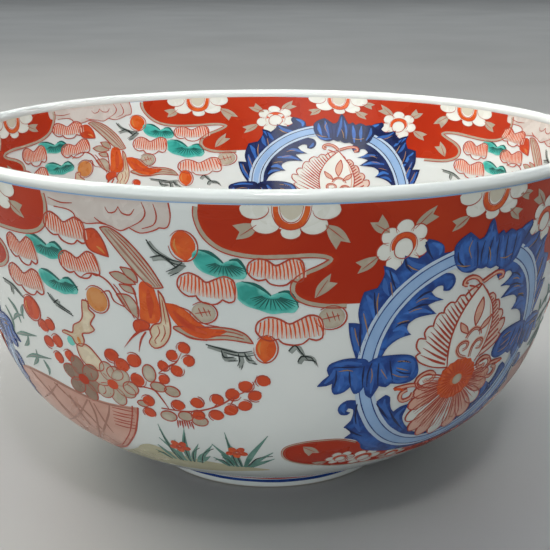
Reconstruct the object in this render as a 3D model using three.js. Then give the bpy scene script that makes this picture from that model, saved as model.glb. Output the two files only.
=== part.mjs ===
// A footed porcelain serving bowl: a thrown wall with a flat floor, a rolled lip and a turned foot ring.
// Millimetres, +Z up. The origin is the centre of the plane that the foot ring rests on.

import * as THREE from "three";

// Driving dimensions
const RIM_RADIUS = 150;
const HEIGHT = 160;
const FOOT_RADIUS = 60; // outside of the foot ring where it meets the table
const FOOT_HEIGHT = 8;
const FOOT_THICKNESS = 7;
const FLOOR_THICKNESS = 7;
const WALL_THICKNESS = 4.7; // just under the lip
const LIP_THICKNESS = 6;
const LIP_HEIGHT = 4.5;
const JOINT_GAP = 0.3; // between pieces that meet

// Worked out from those
const WALL_TOP = HEIGHT - LIP_HEIGHT;
const WALL_TOP_RADIUS = RIM_RADIUS - 1; // the lip rolls out past the wall by this
const WALL_FOOT_RADIUS = FOOT_RADIUS + 5; // the wall starts outside the foot ring
const RECESS_DEPTH = 0.5; // the underside inside the foot ring, above the ring's seat
const UNDERSIDE = FOOT_HEIGHT + RECESS_DEPTH;
const FLOOR_TOP = UNDERSIDE + FLOOR_THICKNESS;
const RECESS_RADIUS = FOOT_RADIUS - FOOT_THICKNESS - 1.5;

const SEGMENTS_ROUND = 72;
const WALL_STEPS = 18;
const WELL_STEPS = 5;
const LIP_STEPS = 10;

// The outside of the wall in (radius, height): a full belly low down, then a steep, nearly straight side.
const wallCurve = new THREE.CubicBezierCurve(
  new THREE.Vector2(WALL_FOOT_RADIUS, FOOT_HEIGHT),
  new THREE.Vector2(RIM_RADIUS * 0.909, HEIGHT * 0.268),
  new THREE.Vector2(RIM_RADIUS * 0.856, HEIGHT * 0.369),
  new THREE.Vector2(WALL_TOP_RADIUS, WALL_TOP),
);
const WELL_MEETS_WALL = 0.1; // share of the wall curve where the inside floor has curved up into the wall
const WELL_FLAT_RADIUS = 44;

function porcelain(colour, roughness) {
  return new THREE.MeshStandardMaterial({ color: colour, roughness, metalness: 0 });
}

// Turns a closed (radius, height) outline about +Z. The outline runs anticlockwise, so that faces look outwards.
function turned(name, outline, material) {
  const geometry = new THREE.LatheGeometry(outline, SEGMENTS_ROUND);
  geometry.rotateX(Math.PI / 2);
  const mesh = new THREE.Mesh(geometry, material);
  mesh.name = name;
  return mesh;
}

// A point of the inside of the wall: the outside moved in along its normal by the thickness there.
function insideOfWall(share) {
  const outside = wallCurve.getPoint(share);
  const along = wallCurve.getTangent(share);
  const thickness = THREE.MathUtils.lerp(FLOOR_THICKNESS, WALL_THICKNESS, share);
  return new THREE.Vector2(outside.x - along.y * thickness, outside.y + along.x * thickness);
}

function bowlBody() {
  const outside = [];
  for (let i = 0; i <= WALL_STEPS; i++) outside.push(wallCurve.getPoint(i / WALL_STEPS));
  const inside = [];
  for (let i = 0; i < WALL_STEPS; i++) {
    inside.push(insideOfWall(THREE.MathUtils.lerp(1, WELL_MEETS_WALL, i / WALL_STEPS)));
  }
  inside[0].y = WALL_TOP;
  const wellEnd = insideOfWall(WELL_MEETS_WALL);
  const wellRise = wallCurve.getTangent(WELL_MEETS_WALL);
  const wellCorner = wellEnd.x - ((wellEnd.y - FLOOR_TOP) * wellRise.x) / wellRise.y;
  const well = new THREE.QuadraticBezierCurve(
    wellEnd,
    new THREE.Vector2(wellCorner, FLOOR_TOP),
    new THREE.Vector2(WELL_FLAT_RADIUS, FLOOR_TOP),
  );
  const outline = [
    new THREE.Vector2(0, UNDERSIDE),
    new THREE.Vector2(RECESS_RADIUS, UNDERSIDE),
    new THREE.Vector2(RECESS_RADIUS, FOOT_HEIGHT),
    ...outside,
    ...inside,
    ...well.getPoints(WELL_STEPS),
    new THREE.Vector2(0, FLOOR_TOP),
  ];
  return turned("bowl_body", outline, porcelain(0xc6cdc4, 0.12));
}

// The lip is a half round standing on the top of the wall.
function rimLip() {
  const middle = RIM_RADIUS - LIP_THICKNESS / 2;
  const foot = WALL_TOP + JOINT_GAP;
  const spring = foot + 1; // the sides stand straight for a millimetre before the round starts
  const outline = [
    new THREE.Vector2(WALL_TOP_RADIUS - WALL_THICKNESS, foot),
    new THREE.Vector2(WALL_TOP_RADIUS, foot),
  ];
  for (let i = 0; i <= LIP_STEPS; i++) {
    const turn = (Math.PI * i) / LIP_STEPS;
    outline.push(
      new THREE.Vector2(
        middle + (LIP_THICKNESS / 2) * Math.cos(turn),
        spring + (HEIGHT - spring) * Math.sin(turn),
      ),
    );
  }
  outline.push(outline[0].clone());
  return turned("rim_lip", outline, porcelain(0xd4dad2, 0.1));
}

// The foot ring widens from its narrow resting face to the wall, with its edges eased.
function footRing() {
  const top = FOOT_HEIGHT - JOINT_GAP;
  const innerRadius = FOOT_RADIUS - FOOT_THICKNESS;
  const ease = 1.5;
  const outline = [
    new THREE.Vector2(innerRadius + ease, 0),
    new THREE.Vector2(FOOT_RADIUS - ease, 0),
    new THREE.Vector2(FOOT_RADIUS, ease),
    new THREE.Vector2(FOOT_RADIUS + 0.8, top / 2),
    new THREE.Vector2(WALL_FOOT_RADIUS - 1, top),
    new THREE.Vector2(innerRadius - 1, top),
    new THREE.Vector2(innerRadius, ease),
  ];
  outline.push(outline[0].clone());
  return turned("foot_ring", outline, porcelain(0xc2cbca, 0.18));
}

const bowl = new THREE.Group();
bowl.add(bowlBody(), rimLip(), footRing());

export default bowl;
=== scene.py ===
"""A painted porcelain serving bowl: the smooth porcelain, its painted decoration and a plain studio."""
import math
import random

import bpy
import numpy as np
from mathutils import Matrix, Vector
from mathutils.geometry import delaunay_2d_cdt


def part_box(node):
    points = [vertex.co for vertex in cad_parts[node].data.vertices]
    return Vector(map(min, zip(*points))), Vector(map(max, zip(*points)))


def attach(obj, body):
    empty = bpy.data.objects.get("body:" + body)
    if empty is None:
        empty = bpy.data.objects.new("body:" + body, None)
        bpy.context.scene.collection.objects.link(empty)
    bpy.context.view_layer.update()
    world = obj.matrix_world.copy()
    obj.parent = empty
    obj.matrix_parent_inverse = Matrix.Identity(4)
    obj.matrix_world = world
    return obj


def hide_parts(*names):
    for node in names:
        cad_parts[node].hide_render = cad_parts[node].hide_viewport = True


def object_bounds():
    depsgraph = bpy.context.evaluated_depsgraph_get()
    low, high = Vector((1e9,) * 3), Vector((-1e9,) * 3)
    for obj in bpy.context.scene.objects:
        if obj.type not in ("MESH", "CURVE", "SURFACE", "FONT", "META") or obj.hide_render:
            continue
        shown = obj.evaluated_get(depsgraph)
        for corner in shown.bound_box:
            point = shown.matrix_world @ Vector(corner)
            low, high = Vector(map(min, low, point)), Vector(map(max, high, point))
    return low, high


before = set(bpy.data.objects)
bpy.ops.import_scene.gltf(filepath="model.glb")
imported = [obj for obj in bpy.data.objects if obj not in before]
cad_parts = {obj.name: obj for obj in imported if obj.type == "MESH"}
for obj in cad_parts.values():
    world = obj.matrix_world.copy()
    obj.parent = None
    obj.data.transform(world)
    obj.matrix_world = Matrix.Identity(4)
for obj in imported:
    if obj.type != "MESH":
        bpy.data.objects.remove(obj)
cad_low, cad_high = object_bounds()

# ---------------------------------------------------------------- driving sizes, in millimetres
MM = 0.001
RIM_RADIUS = cad_high.x / MM
HEIGHT = cad_high.z / MM
WALL_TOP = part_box("bowl_body")[1].z / MM
WALL_TOP_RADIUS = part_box("bowl_body")[1].x / MM
FOOT_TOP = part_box("bowl_body")[0].z / MM
FOOT_RADIUS = 60
WALL_FOOT_RADIUS = FOOT_RADIUS + 5
FOOT_THICKNESS = 7
FLOOR_THICKNESS = 7
WALL_THICKNESS = 4.7
LIP_THICKNESS = 6
UNDERSIDE = FOOT_TOP + 0.5
RECESS_RADIUS = FOOT_RADIUS - FOOT_THICKNESS - 1.5
WELL_MEETS_WALL = 0.1
WELL_FLAT_RADIUS = 44
BASE_LIFT = 0.06  # the lowest paint above the porcelain
COAT = 0.035  # each further coat
FLICKER = 0.003  # keeps neighbouring shapes of one coat from lying in exactly the same surface
SUNK = 0.06  # how far the edge of a painted patch reaches into the porcelain
GRID = 4.0  # spacing of the points inside a painted patch
RIM_LINE = 0.7  # the painting starts this far below the lip
STEPS_ROUND = 288
STEPS_WALL = 80

# The camera: millimetres in front of the bowl's axis and above the table, and degrees
CAMERA_BACK = 508
CAMERA_UP = 236.2
CAMERA_PITCH = 16.5
CAMERA_YAW = -0.3
LENS = 69.9

# The blue medallions: their size, and their angles in degrees from the front, outside and inside
FRONT = 34
WREATH_WIDTH = 87
WREATH_HEIGHT = 92
WREATH_MIDDLE = 71.5
OUTSIDE_REPEATS = (34, -78, 158)
INSIDE_REPEATS = (163.5, 43.5, -76.5)
INSIDE_WIDEN = 1.09  # the inside has the same drawing on a smaller circle
INSIDE_SHORTEN = 0.8


# ---------------------------------------------------------------- the turned shape
def bezier(points, steps):
    """Points along a cubic curve, from the first control point to the last."""
    a, b, c, d = (np.array(p, float) for p in points)
    t = np.linspace(0, 1, steps + 1)[:, None]
    return (1 - t) ** 3 * a + 3 * (1 - t) ** 2 * t * b + 3 * (1 - t) * t ** 2 * c + t ** 3 * d


def wall_outside():
    """The outside of the wall from the foot to the lip, as radius and height."""
    return bezier(
        [
            (WALL_FOOT_RADIUS, FOOT_TOP),
            (RIM_RADIUS * 0.909, HEIGHT * 0.268),
            (RIM_RADIUS * 0.856, HEIGHT * 0.369),
            (WALL_TOP_RADIUS, WALL_TOP),
        ],
        STEPS_WALL,
    )


def wall_inside():
    """The inside, from the lip down: the outside moved in, then the curve of the well and its flat."""
    outside = wall_outside()
    along = np.gradient(outside, axis=0)
    along /= np.linalg.norm(along, axis=1)[:, None]
    share = np.linspace(0, 1, STEPS_WALL + 1)[:, None]
    thickness = FLOOR_THICKNESS + (WALL_THICKNESS - FLOOR_THICKNESS) * share
    inside = outside + np.stack([-along[:, 1], along[:, 0]], axis=1) * thickness
    first = round(WELL_MEETS_WALL * STEPS_WALL)
    floor_top = UNDERSIDE + FLOOR_THICKNESS
    end, rise = inside[first], along[first]
    corner = np.array([end[0] - (end[1] - floor_top) * rise[0] / rise[1], floor_top])
    flat = np.array([WELL_FLAT_RADIUS, floor_top])
    t = np.linspace(0, 1, 13)[1:, None]
    well = (1 - t) ** 2 * end + 2 * (1 - t) * t * corner + t ** 2 * flat
    radii = np.linspace(WELL_FLAT_RADIUS, 0, 14)[1:]
    floor = np.stack([radii, np.full(len(radii), floor_top)], axis=1)
    return np.concatenate([inside[: first - 1 : -1], well, floor])


def turned(name, outline, closed):
    """A mesh object turned about +Z from (radius, height) points, with one vertex for a point on the axis."""
    turns = np.linspace(0, 2 * math.pi, STEPS_ROUND, endpoint=False)
    vertices, rows = [], []
    for radius, height in outline:
        if radius < 1e-6:
            rows.append([len(vertices)] * STEPS_ROUND)
            vertices.append((0, 0, height * MM))
        else:
            rows.append(list(range(len(vertices), len(vertices) + STEPS_ROUND)))
            vertices += [
                (radius * MM * math.sin(t), -radius * MM * math.cos(t), height * MM) for t in turns
            ]
    pairs = list(zip(rows, rows[1:]))
    if closed:
        pairs.append((rows[-1], rows[0]))
    faces = []
    for lower, upper in pairs:
        for i in range(STEPS_ROUND):
            j = (i + 1) % STEPS_ROUND
            face = list(dict.fromkeys((lower[i], lower[j], upper[j], upper[i])))
            if len(face) > 2:
                faces.append(face)
    mesh = bpy.data.meshes.new(name)
    mesh.from_pydata(vertices, [], faces)
    mesh.shade_smooth()
    mesh.set_sharp_from_angle(angle=math.radians(50))
    piece = bpy.data.objects.new(name, mesh)
    bpy.context.collection.objects.link(piece)
    return piece


def half_round(middle, radius, low, high, steps):
    """A rounded top from the outside over to the inside, as radius and height."""
    turns = np.linspace(0, math.pi, steps + 1)
    return [(middle + radius * math.cos(t), low + (high - low) * math.sin(t)) for t in turns]


# ---------------------------------------------------------------- materials
def new_material(name, colour, roughness):
    """A glossy ceramic material, its shader node and its node tree."""
    material = bpy.data.materials.new(name)
    material.use_nodes = True
    shader = material.node_tree.nodes["Principled BSDF"]
    shader.inputs["Base Color"].default_value = (*colour, 1)
    shader.inputs["Roughness"].default_value = roughness
    return material, shader, material.node_tree


def link_noise(tree, vector, scale, detail, distortion=0.0):
    """Noise over the object's own coordinates."""
    noise = tree.nodes.new("ShaderNodeTexNoise")
    noise.inputs["Scale"].default_value = scale
    noise.inputs["Detail"].default_value = detail
    noise.inputs["Distortion"].default_value = distortion
    tree.links.new(vector, noise.inputs["Vector"])
    return noise.outputs["Fac"]


def link_ramp(tree, value, stops):
    """A colour ramp over (position, linear colour) stops."""
    ramp = tree.nodes.new("ShaderNodeValToRGB")
    elements = ramp.color_ramp.elements
    while len(elements) < len(stops):
        elements.new(0.5)
    for element, (position, colour) in zip(elements, stops):
        element.position = position
        element.color = (*colour, 1)
    tree.links.new(value, ramp.inputs["Fac"])
    return ramp.outputs["Color"]


def link_range(tree, value, low, high, out_low, out_high):
    """A value carried over from one range to another."""
    span = tree.nodes.new("ShaderNodeMapRange")
    span.inputs["From Min"].default_value = low
    span.inputs["From Max"].default_value = high
    span.inputs["To Min"].default_value = out_low
    span.inputs["To Max"].default_value = out_high
    tree.links.new(value, span.inputs["Value"])
    return span.outputs["Result"]


def link_bump(tree, shader, height, distance, strength):
    """Fine unevenness of the surface, up to this many metres."""
    bump = tree.nodes.new("ShaderNodeBump")
    bump.inputs["Distance"].default_value = distance
    bump.inputs["Strength"].default_value = strength
    tree.links.new(height, bump.inputs["Height"])
    tree.links.new(bump.outputs["Normal"], shader.inputs["Normal"])


def porcelain_material():
    """White porcelain under a faintly blue glaze, with soft clouding, iron specks and a bare foot edge."""
    material, shader, tree = new_material("porcelain_glaze", (0.62, 0.66, 0.63), 0.1)
    place = tree.nodes.new("ShaderNodeTexCoord").outputs["Object"]
    clouding = link_noise(tree, place, 18, 3)
    glaze = link_ramp(tree, clouding, [(0.3, (0.68, 0.73, 0.71)), (0.7, (0.76, 0.79, 0.76))])
    specks = tree.nodes.new("ShaderNodeTexVoronoi")
    specks.inputs["Scale"].default_value = 55
    tree.links.new(place, specks.inputs["Vector"])
    speck_mask = link_range(tree, specks.outputs["Distance"], 0.018, 0.032, 0.22, 0.0)
    speckled = tree.nodes.new("ShaderNodeMix")
    speckled.data_type = "RGBA"
    speckled.inputs["B"].default_value = (0.16, 0.12, 0.08, 1)
    tree.links.new(speck_mask, speckled.inputs["Factor"])
    tree.links.new(glaze, speckled.inputs["A"])
    split = tree.nodes.new("ShaderNodeSeparateXYZ")
    tree.links.new(place, split.inputs["Vector"])
    bare_mask = link_range(tree, split.outputs["Z"], 0.5 * MM, 1.1 * MM, 1, 0)
    bare = tree.nodes.new("ShaderNodeMix")
    bare.data_type = "RGBA"
    bare.inputs["B"].default_value = (0.52, 0.45, 0.36, 1)
    tree.links.new(bare_mask, bare.inputs["Factor"])
    tree.links.new(speckled.outputs["Result"], bare.inputs["A"])
    tree.links.new(bare.outputs["Result"], shader.inputs["Base Color"])
    tree.links.new(link_range(tree, bare_mask, 0, 1, 0.1, 0.65), shader.inputs["Roughness"])
    link_bump(tree, shader, link_noise(tree, place, 160, 2), 0.4 * MM, 0.12)
    return material


def enamel_material(name, edge, thin, full, roughness, streak, metal, gloss):
    """Brushed enamel: its tone runs between thin and full, and changes to the edge tone at outlines."""
    material, shader, tree = new_material(name, full, roughness)
    place = tree.nodes.new("ShaderNodeTexCoord").outputs["Object"]
    cloud = link_noise(tree, place, streak, 4, 0.6)
    tone = link_ramp(tree, cloud, [(0.34, thin), (0.64, full)])
    inner = tree.nodes.new("ShaderNodeAttribute")
    inner.attribute_name = "middle"
    ragged = tree.nodes.new("ShaderNodeMath")
    ragged.operation = "ADD"
    tree.links.new(inner.outputs["Fac"], ragged.inputs[0])
    tree.links.new(
        link_range(tree, link_noise(tree, place, 300, 3), 0.3, 0.7, -0.25, 0.25), ragged.inputs[1],
    )
    blend = tree.nodes.new("ShaderNodeMix")
    blend.data_type = "RGBA"
    blend.inputs["A"].default_value = (*edge, 1)
    tree.links.new(link_range(tree, ragged.outputs["Value"], 0.0, 0.55, 0, 1), blend.inputs["Factor"])
    tree.links.new(tone, blend.inputs["B"])
    tree.links.new(blend.outputs["Result"], shader.inputs["Base Color"])
    tree.links.new(
        link_range(tree, cloud, 0.3, 0.7, roughness + 0.08, roughness - 0.04), shader.inputs["Roughness"],
    )
    shader.inputs["Metallic"].default_value = metal
    shader.inputs["Specular IOR Level"].default_value = gloss
    link_bump(tree, shader, link_noise(tree, place, 420, 3), 0.12 * MM, 0.25)
    return material


def assign(piece, material):
    """Gives a piece its material, and has it ride on the bowl."""
    piece.data.materials.append(material)
    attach(piece, "root")


# ---------------------------------------------------------------- the porcelain
def foot_side():
    """The outside of the foot ring from its eased edge up to the wall, as radius and height."""
    return [
        (FOOT_RADIUS, 1.8),
        (FOOT_RADIUS + 0.4, FOOT_TOP * 0.45),
        (FOOT_RADIUS + 0.9, FOOT_TOP * 0.75),
        (FOOT_RADIUS + 3.6, FOOT_TOP + 0.1),
    ]


def build_porcelain():
    """The wall with its floor, the lip and the foot ring, which stand in for the three solids."""
    glaze = porcelain_material()
    outside, inside = wall_outside(), wall_inside()
    tucked = 1.2  # the wall's top edge reaches up into the lip
    body_outline = [
        (0, UNDERSIDE),
        *[(RECESS_RADIUS * k / 12, UNDERSIDE) for k in range(1, 12)],
        (RECESS_RADIUS - 1.5, UNDERSIDE),
        (RECESS_RADIUS + 3, FOOT_TOP - 1),
        (FOOT_RADIUS, FOOT_TOP - 0.6),
        *outside,
        (WALL_TOP_RADIUS - 0.3, WALL_TOP + tucked),
        (WALL_TOP_RADIUS - WALL_THICKNESS + 0.3, WALL_TOP + tucked),
        *inside,
    ]
    body = turned("porcelain_wall", body_outline, closed=False)
    assign(body, glaze)
    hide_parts("bowl_body")

    middle = RIM_RADIUS - LIP_THICKNESS / 2
    spring = WALL_TOP + 1.5
    lip_outline = [
        (WALL_TOP_RADIUS - 0.6, WALL_TOP - 0.4),
        (WALL_TOP_RADIUS, WALL_TOP),
        (WALL_TOP_RADIUS + 0.55, WALL_TOP + 0.6),
        *half_round(middle, LIP_THICKNESS / 2, spring, HEIGHT, 24),
        (WALL_TOP_RADIUS - WALL_THICKNESS - 0.25, WALL_TOP + 0.6),
        (WALL_TOP_RADIUS - WALL_THICKNESS, WALL_TOP),
        (WALL_TOP_RADIUS - WALL_THICKNESS + 0.6, WALL_TOP - 0.4),
    ]
    lip = turned("porcelain_lip", lip_outline, closed=True)
    assign(lip, glaze)
    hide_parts("rim_lip")

    inner = FOOT_RADIUS - FOOT_THICKNESS
    foot_outline = [
        (inner + 2.6, 0),
        (FOOT_RADIUS - 1.8, 0),
        (FOOT_RADIUS - 0.9, 0.25),
        (FOOT_RADIUS - 0.2, 0.9),
        *foot_side(),
        (FOOT_RADIUS + 2, FOOT_TOP + 0.6),
        (inner, FOOT_TOP + 0.6),
        (inner - 1.4, FOOT_TOP + 0.2),
        (inner + 0.1, FOOT_TOP * 0.6),
        (inner + 0.7, 1.8),
        (inner + 1.5, 0.5),
    ]
    foot = turned("porcelain_foot", foot_outline, closed=True)
    assign(foot, glaze)
    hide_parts("foot_ring")


# ---------------------------------------------------------------- drawing on the wall
# The drawing is laid out as it lies round the front medallion: each place is (angle, down), in degrees to
# the right of the bowl's front and millimetres down the wall from the lip. Each shape is made once, and laid
# on the wall at every medallion, outside and inside. The coat that a shape is drawn in says what it covers:
# 1 for grounds, 3 for most fills, 4 to 6 for the lines on them, and 7 to 13 for the medallion, over the rest.
class Face:
    """One face of the wall, from the lip down, and where the drawing goes on it."""

    def __init__(self, profile, side, middles, spare, widen, shorten):
        steps = np.linalg.norm(np.diff(profile, axis=0), axis=1)
        self.down = np.concatenate([[0], np.cumsum(steps)])
        self.profile = profile
        self.slope = np.gradient(profile, self.down, axis=0)
        self.side = side
        self.middles = middles
        self.spare = spare
        self.widen = widen
        self.shorten = shorten

    def points(self, angle, down, lift):
        """Points this far above the porcelain, in metres, and the wall's normals there."""
        down = np.clip(down, 0, self.down[-1])
        radius, height = (np.interp(down, self.down, column) for column in self.profile.T)
        out, up = (np.interp(down, self.down, column) for column in self.slope.T)
        out, up = -self.side * up, self.side * out
        length = np.hypot(out, up)
        out, up = out / length, up / length
        turn = np.radians(angle)
        sine, cosine = np.sin(turn), -np.cos(turn)
        reach = radius + out * lift
        place = np.stack([reach * sine, reach * cosine, height + up * lift], axis=1)
        return place * MM, np.stack([out * sine, out * cosine, up], axis=1)

    def lay(self, flat, anchor, repeat, lift):
        """The drawing's places as they lie at one medallion, with a hand's small unevenness."""
        angle, down = flat[:, 0] - FRONT, flat[:, 1]
        reach = np.clip((FRONT - 46 - anchor) / 32, 0, 1)
        angle = angle - self.spare[repeat] * reach * reach * (3 - 2 * reach)
        drift = random.Random(17 + repeat + 5 * self.widen)
        sway = 0.0 if repeat == 0 and self.side > 0 else 1.0
        phase = [drift.uniform(0, 6) for _ in range(4)]
        settle = sway * np.clip(down / 12, 0, 1)
        uneven = 0.5 * np.sin(down * 0.09 + phase[0]) + 0.4 * np.sin(angle * 0.14 + phase[1])
        down = down + settle * (
            0.8 * np.sin(angle * 0.17 + phase[2]) + 0.5 * np.sin(down * 0.11 + phase[3])
        )
        angle = angle + settle * uneven
        return self.points(self.middles[repeat] + self.side * self.widen * angle, self.shorten * down, lift)


outside_face = Face(wall_outside()[::-1], 1, OUTSIDE_REPEATS, (0, 12, 12), 1, 1)
inside_face = Face(wall_inside(), -1, INSIDE_REPEATS, (-2, -2, -2), INSIDE_WIDEN, INSIDE_SHORTEN)


def across(down):
    """How many millimetres one degree is, this far down the outside."""
    return math.pi / 180 * np.interp(down, outside_face.down, outside_face.profile[:, 0])


def smooth(points, closed=False, step=1.7):
    """A rounded curve through the points. A point given twice is a sharp corner."""
    points = np.array(points, float)
    count = len(points)
    runs = []
    for i in range(count if closed else count - 1):
        start, end = points[i], points[(i + 1) % count]
        before = points[i - 1] if closed or i else start
        after = points[(i + 2) % count] if closed or i + 2 < count else end
        length = math.hypot((end - start)[0] * across(start[1]), (end - start)[1])
        if length < 1e-6:
            continue
        t = np.linspace(0, 1, max(1, math.ceil(length / step)), endpoint=False)[:, None]
        square, cube = t * t, t * t * t
        first = start * 2 + (end - before) * t
        second = (2 * before - 5 * start + 4 * end - after) * square
        third = (3 * start - before - 3 * end + after) * cube
        runs.append(0.5 * (first + second + third))
    if not closed:
        runs.append(points[-1:])
    return np.concatenate(runs)


def as_drawn(points):
    """The same places, left as they are."""
    return points


def mirrored(points):
    """The same places on the other side of the medallion's middle."""
    return [(2 * FRONT - angle, down) for angle, down in points][::-1]


def scaled(points, wide, tall):
    """Places given for a shape of unit size, at their real width and height."""
    return [(x * wide, y * tall) for x, y in points]


def both_sides(points):
    """The places as they are, and mirrored."""
    return points, mirrored(points)


class Spot:
    """A place on the drawing, with a turn in degrees: at() takes millimetres right and down from it."""

    def __init__(self, angle, down, turn=0):
        self.angle = angle
        self.down = down
        self.turn = math.radians(turn)

    def at(self, points):
        x, y = np.array(points, float).T
        cosine, sine = math.cos(self.turn), math.sin(self.turn)
        wide = across(np.clip(self.down, 0, 160))
        angle = self.angle + (x * cosine - y * sine) / wide
        return np.stack([angle, self.down + x * sine + y * cosine], axis=1)


def inside_outline(points, outline):
    """Which points lie within a closed outline, by counting crossings."""
    x, y = points[:, 0][:, None], points[:, 1][:, None]
    x0, y0 = outline.T
    x1, y1 = np.roll(outline, -1, axis=0).T
    rise = np.where(y1 == y0, 1e-12, y1 - y0)
    crosses = ((y0 > y) != (y1 > y)) & (x < x0 + (y - y0) * (x1 - x0) / rise)
    return crosses.sum(axis=1) % 2 == 1


class Drawing:
    """The painted shapes, kept by colour as flat triangles until they are laid on the wall."""

    def __init__(self):
        self.shapes = {}
        self.anchor = FRONT
        self.count = 0

    def keep(self, colour, coat, flat, middle, triangles):
        """Adds one shape: its places, how far in from the edge each is, from 0 to 1, and its triangles."""
        flat = np.array(flat)
        triangles = np.array(triangles)
        corners = flat[triangles] * (across(flat[:, 1].mean()), 1)
        (ax, ay), (bx, by) = (corners[:, 1] - corners[:, 0]).T, (corners[:, 2] - corners[:, 0]).T
        area = ax * by - ay * bx
        triangles = np.where((area > 0)[:, None], triangles[:, ::-1], triangles)[np.abs(area) > 1e-7]
        if not len(triangles):
            return
        sides = dict.fromkeys(side for a, b, c in triangles.tolist() for side in ((a, b), (b, c), (c, a)))
        rim = [side for side in sides if side[::-1] not in sides]
        self.count += 1
        lift = BASE_LIFT + COAT * coat + FLICKER * (self.count % 9)
        self.shapes.setdefault(colour, []).append(
            (flat, np.array(middle, float), triangles, rim, lift, self.anchor)
        )

    def fill(self, colour, coat, points, closed_smooth=True, step=1.7):
        """A filled shape inside a closed outline."""
        outline = smooth(points, closed=True, step=step) if closed_smooth else np.array(points, float)
        outline[:, 1] = np.maximum(outline[:, 1], RIM_LINE)
        scale = np.array([across(outline[:, 1].mean()), 1])
        outline = outline * scale
        keep = np.linalg.norm(outline - np.roll(outline, 1, axis=0), axis=1) > 0.02
        outline = outline[keep]
        low, high = outline.min(axis=0), outline.max(axis=0)
        columns = np.arange(low[0], high[0], GRID)
        rows = np.arange(low[1], high[1], GRID * 0.87)
        grid = np.array([(x + (j % 2) * GRID / 2, y) for j, y in enumerate(rows) for x in columns])
        if len(grid):
            grid = grid[inside_outline(grid, outline)]
        if len(grid):
            gap = np.linalg.norm(grid[:, None] - outline[None], axis=2).min(axis=1)
            grid = grid[gap > GRID * 0.35]
        every = np.concatenate([outline, grid]) if len(grid) else outline
        cut = delaunay_2d_cdt([Vector(p) for p in every], [], [list(range(len(outline)))], 1, 1e-5)
        places = np.array([tuple(p) for p in cut[0]]) / scale
        used = sorted({i for face in cut[2] for i in face})
        renumber = {old: new for new, old in enumerate(used)}
        edges = len(outline)
        middle = [float(all(source >= edges for source in cut[3][i]) and len(cut[3][i]) > 0) for i in used]
        triangles = [[renumber[i] for i in face] for face in cut[2]]
        if triangles:
            self.keep(colour, coat, places[used], middle, triangles)

    def stroke(self, colour, coat, points, width, start=1.0, end=1.0, rounded=True, step=1.5, closed=False):
        """A brush line, as wide as given in the middle and by the shares start and end at its two ends."""
        path = smooth(points, closed, step) if rounded else np.array(points, float)
        if closed:
            path = np.concatenate([path, path[:1]])
        for run in np.split(path, np.flatnonzero(path[:, 1] < RIM_LINE) + 1):
            run = run[run[:, 1] >= RIM_LINE]
            if len(run) > 1:
                self.ribbon(colour, coat, run, width, start, end)

    def strokes(self, colour, coat, paths, width, start=1.0, end=1.0):
        """Several brush lines of one kind."""
        for path in paths:
            self.stroke(colour, coat, path, width, start, end)

    def ribbon(self, colour, coat, path, width, start, end):
        """One unbroken brush line, with the slight swelling of a hand's pressure."""
        wide = across(path[:, 1])
        flat = np.stack([path[:, 0] * wide.mean(), path[:, 1]], axis=1)
        gone = np.concatenate([[0], np.cumsum(np.linalg.norm(np.diff(flat, axis=0), axis=1))])
        if gone[-1] < 0.2:
            return
        t = gone / gone[-1]
        along = np.gradient(flat, axis=0)
        along /= np.maximum(np.linalg.norm(along, axis=1), 1e-9)[:, None]
        swell = np.minimum(1, np.minimum(start + (1 - start) * t / 0.35, end + (1 - end) * (1 - t) / 0.45))
        unsteady = min(1, 0.9 / width)
        press = 1 + unsteady * (
            0.13 * np.sin(gone * 0.5 + self.count) + 0.06 * np.sin(gone * 1.7 + 2 * self.count)
        )
        half = 0.5 * width * np.maximum(swell * press, 0.12)
        offsets = (-1, 1) if width < 2.2 else (-1, 0, 1)
        columns = []
        for offset in offsets:
            moved = path.copy()
            moved[:, 0] += -along[:, 1] * half * offset / wide
            moved[:, 1] += along[:, 0] * half * offset
            columns.append(moved)
        count, across_count = len(path), len(offsets)
        places = np.stack(columns, axis=1).reshape(-1, 2)
        middle = np.tile([1.0 - abs(offset) for offset in offsets], count)
        triangles = []
        for i in range(count - 1):
            for j in range(across_count - 1):
                a = i * across_count + j
                b, c, d = a + 1, a + across_count + 1, a + across_count
                triangles += [(a, b, c), (a, c, d)]
        self.keep(colour, coat, places, middle, triangles)

    def outlined(self, colour, line, coat, points, width=0.5):
        """A filled shape with a thin line round it."""
        self.fill(colour, coat, points)
        self.stroke(line, coat + 3, points, width, closed=True)

    def piece(self, name, colour, faces):
        """One object of everything in this colour, each shape a closed body sunk into the glaze."""
        places, normals, middles, polygons = [], [], [], []
        first = 0
        for flat, middle, triangles, rim, lift, anchor in self.shapes[colour]:
            count = len(flat)
            under = triangles[:, ::-1] + count
            walls = [(b, a, a + count) for a, b in rim] + [(b, a + count, b + count) for a, b in rim]
            body = np.concatenate([triangles, under, np.array(walls)])
            for face in faces:
                for repeat in range(len(face.middles)):
                    top, normal = face.lay(flat, anchor, repeat, lift)
                    bottom, _ = face.lay(flat, anchor, repeat, -SUNK)
                    places += [top, bottom]
                    normals += [normal, normal]
                    middles += [middle, middle]
                    polygons.append(body + first)
                    first += 2 * count
        mesh = bpy.data.meshes.new(name)
        mesh.from_pydata(np.concatenate(places).tolist(), [], np.concatenate(polygons).tolist())
        mesh.shade_smooth()
        shade = mesh.attributes.new("middle", "FLOAT", "POINT")
        shade.data.foreach_set("value", np.concatenate(middles).astype(np.float32))
        mesh.normals_split_custom_set_from_vertices(np.concatenate(normals).tolist())
        made = bpy.data.objects.new(name, mesh)
        bpy.context.collection.objects.link(made)
        return made


def oval(spot, across_radius, down_radius, count=12):
    """Places round an oval, as a closed outline without corners."""
    turns = np.linspace(0, 2 * math.pi, count, endpoint=False)
    return spot.at([(across_radius * math.cos(t), down_radius * math.sin(t)) for t in turns])


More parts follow.
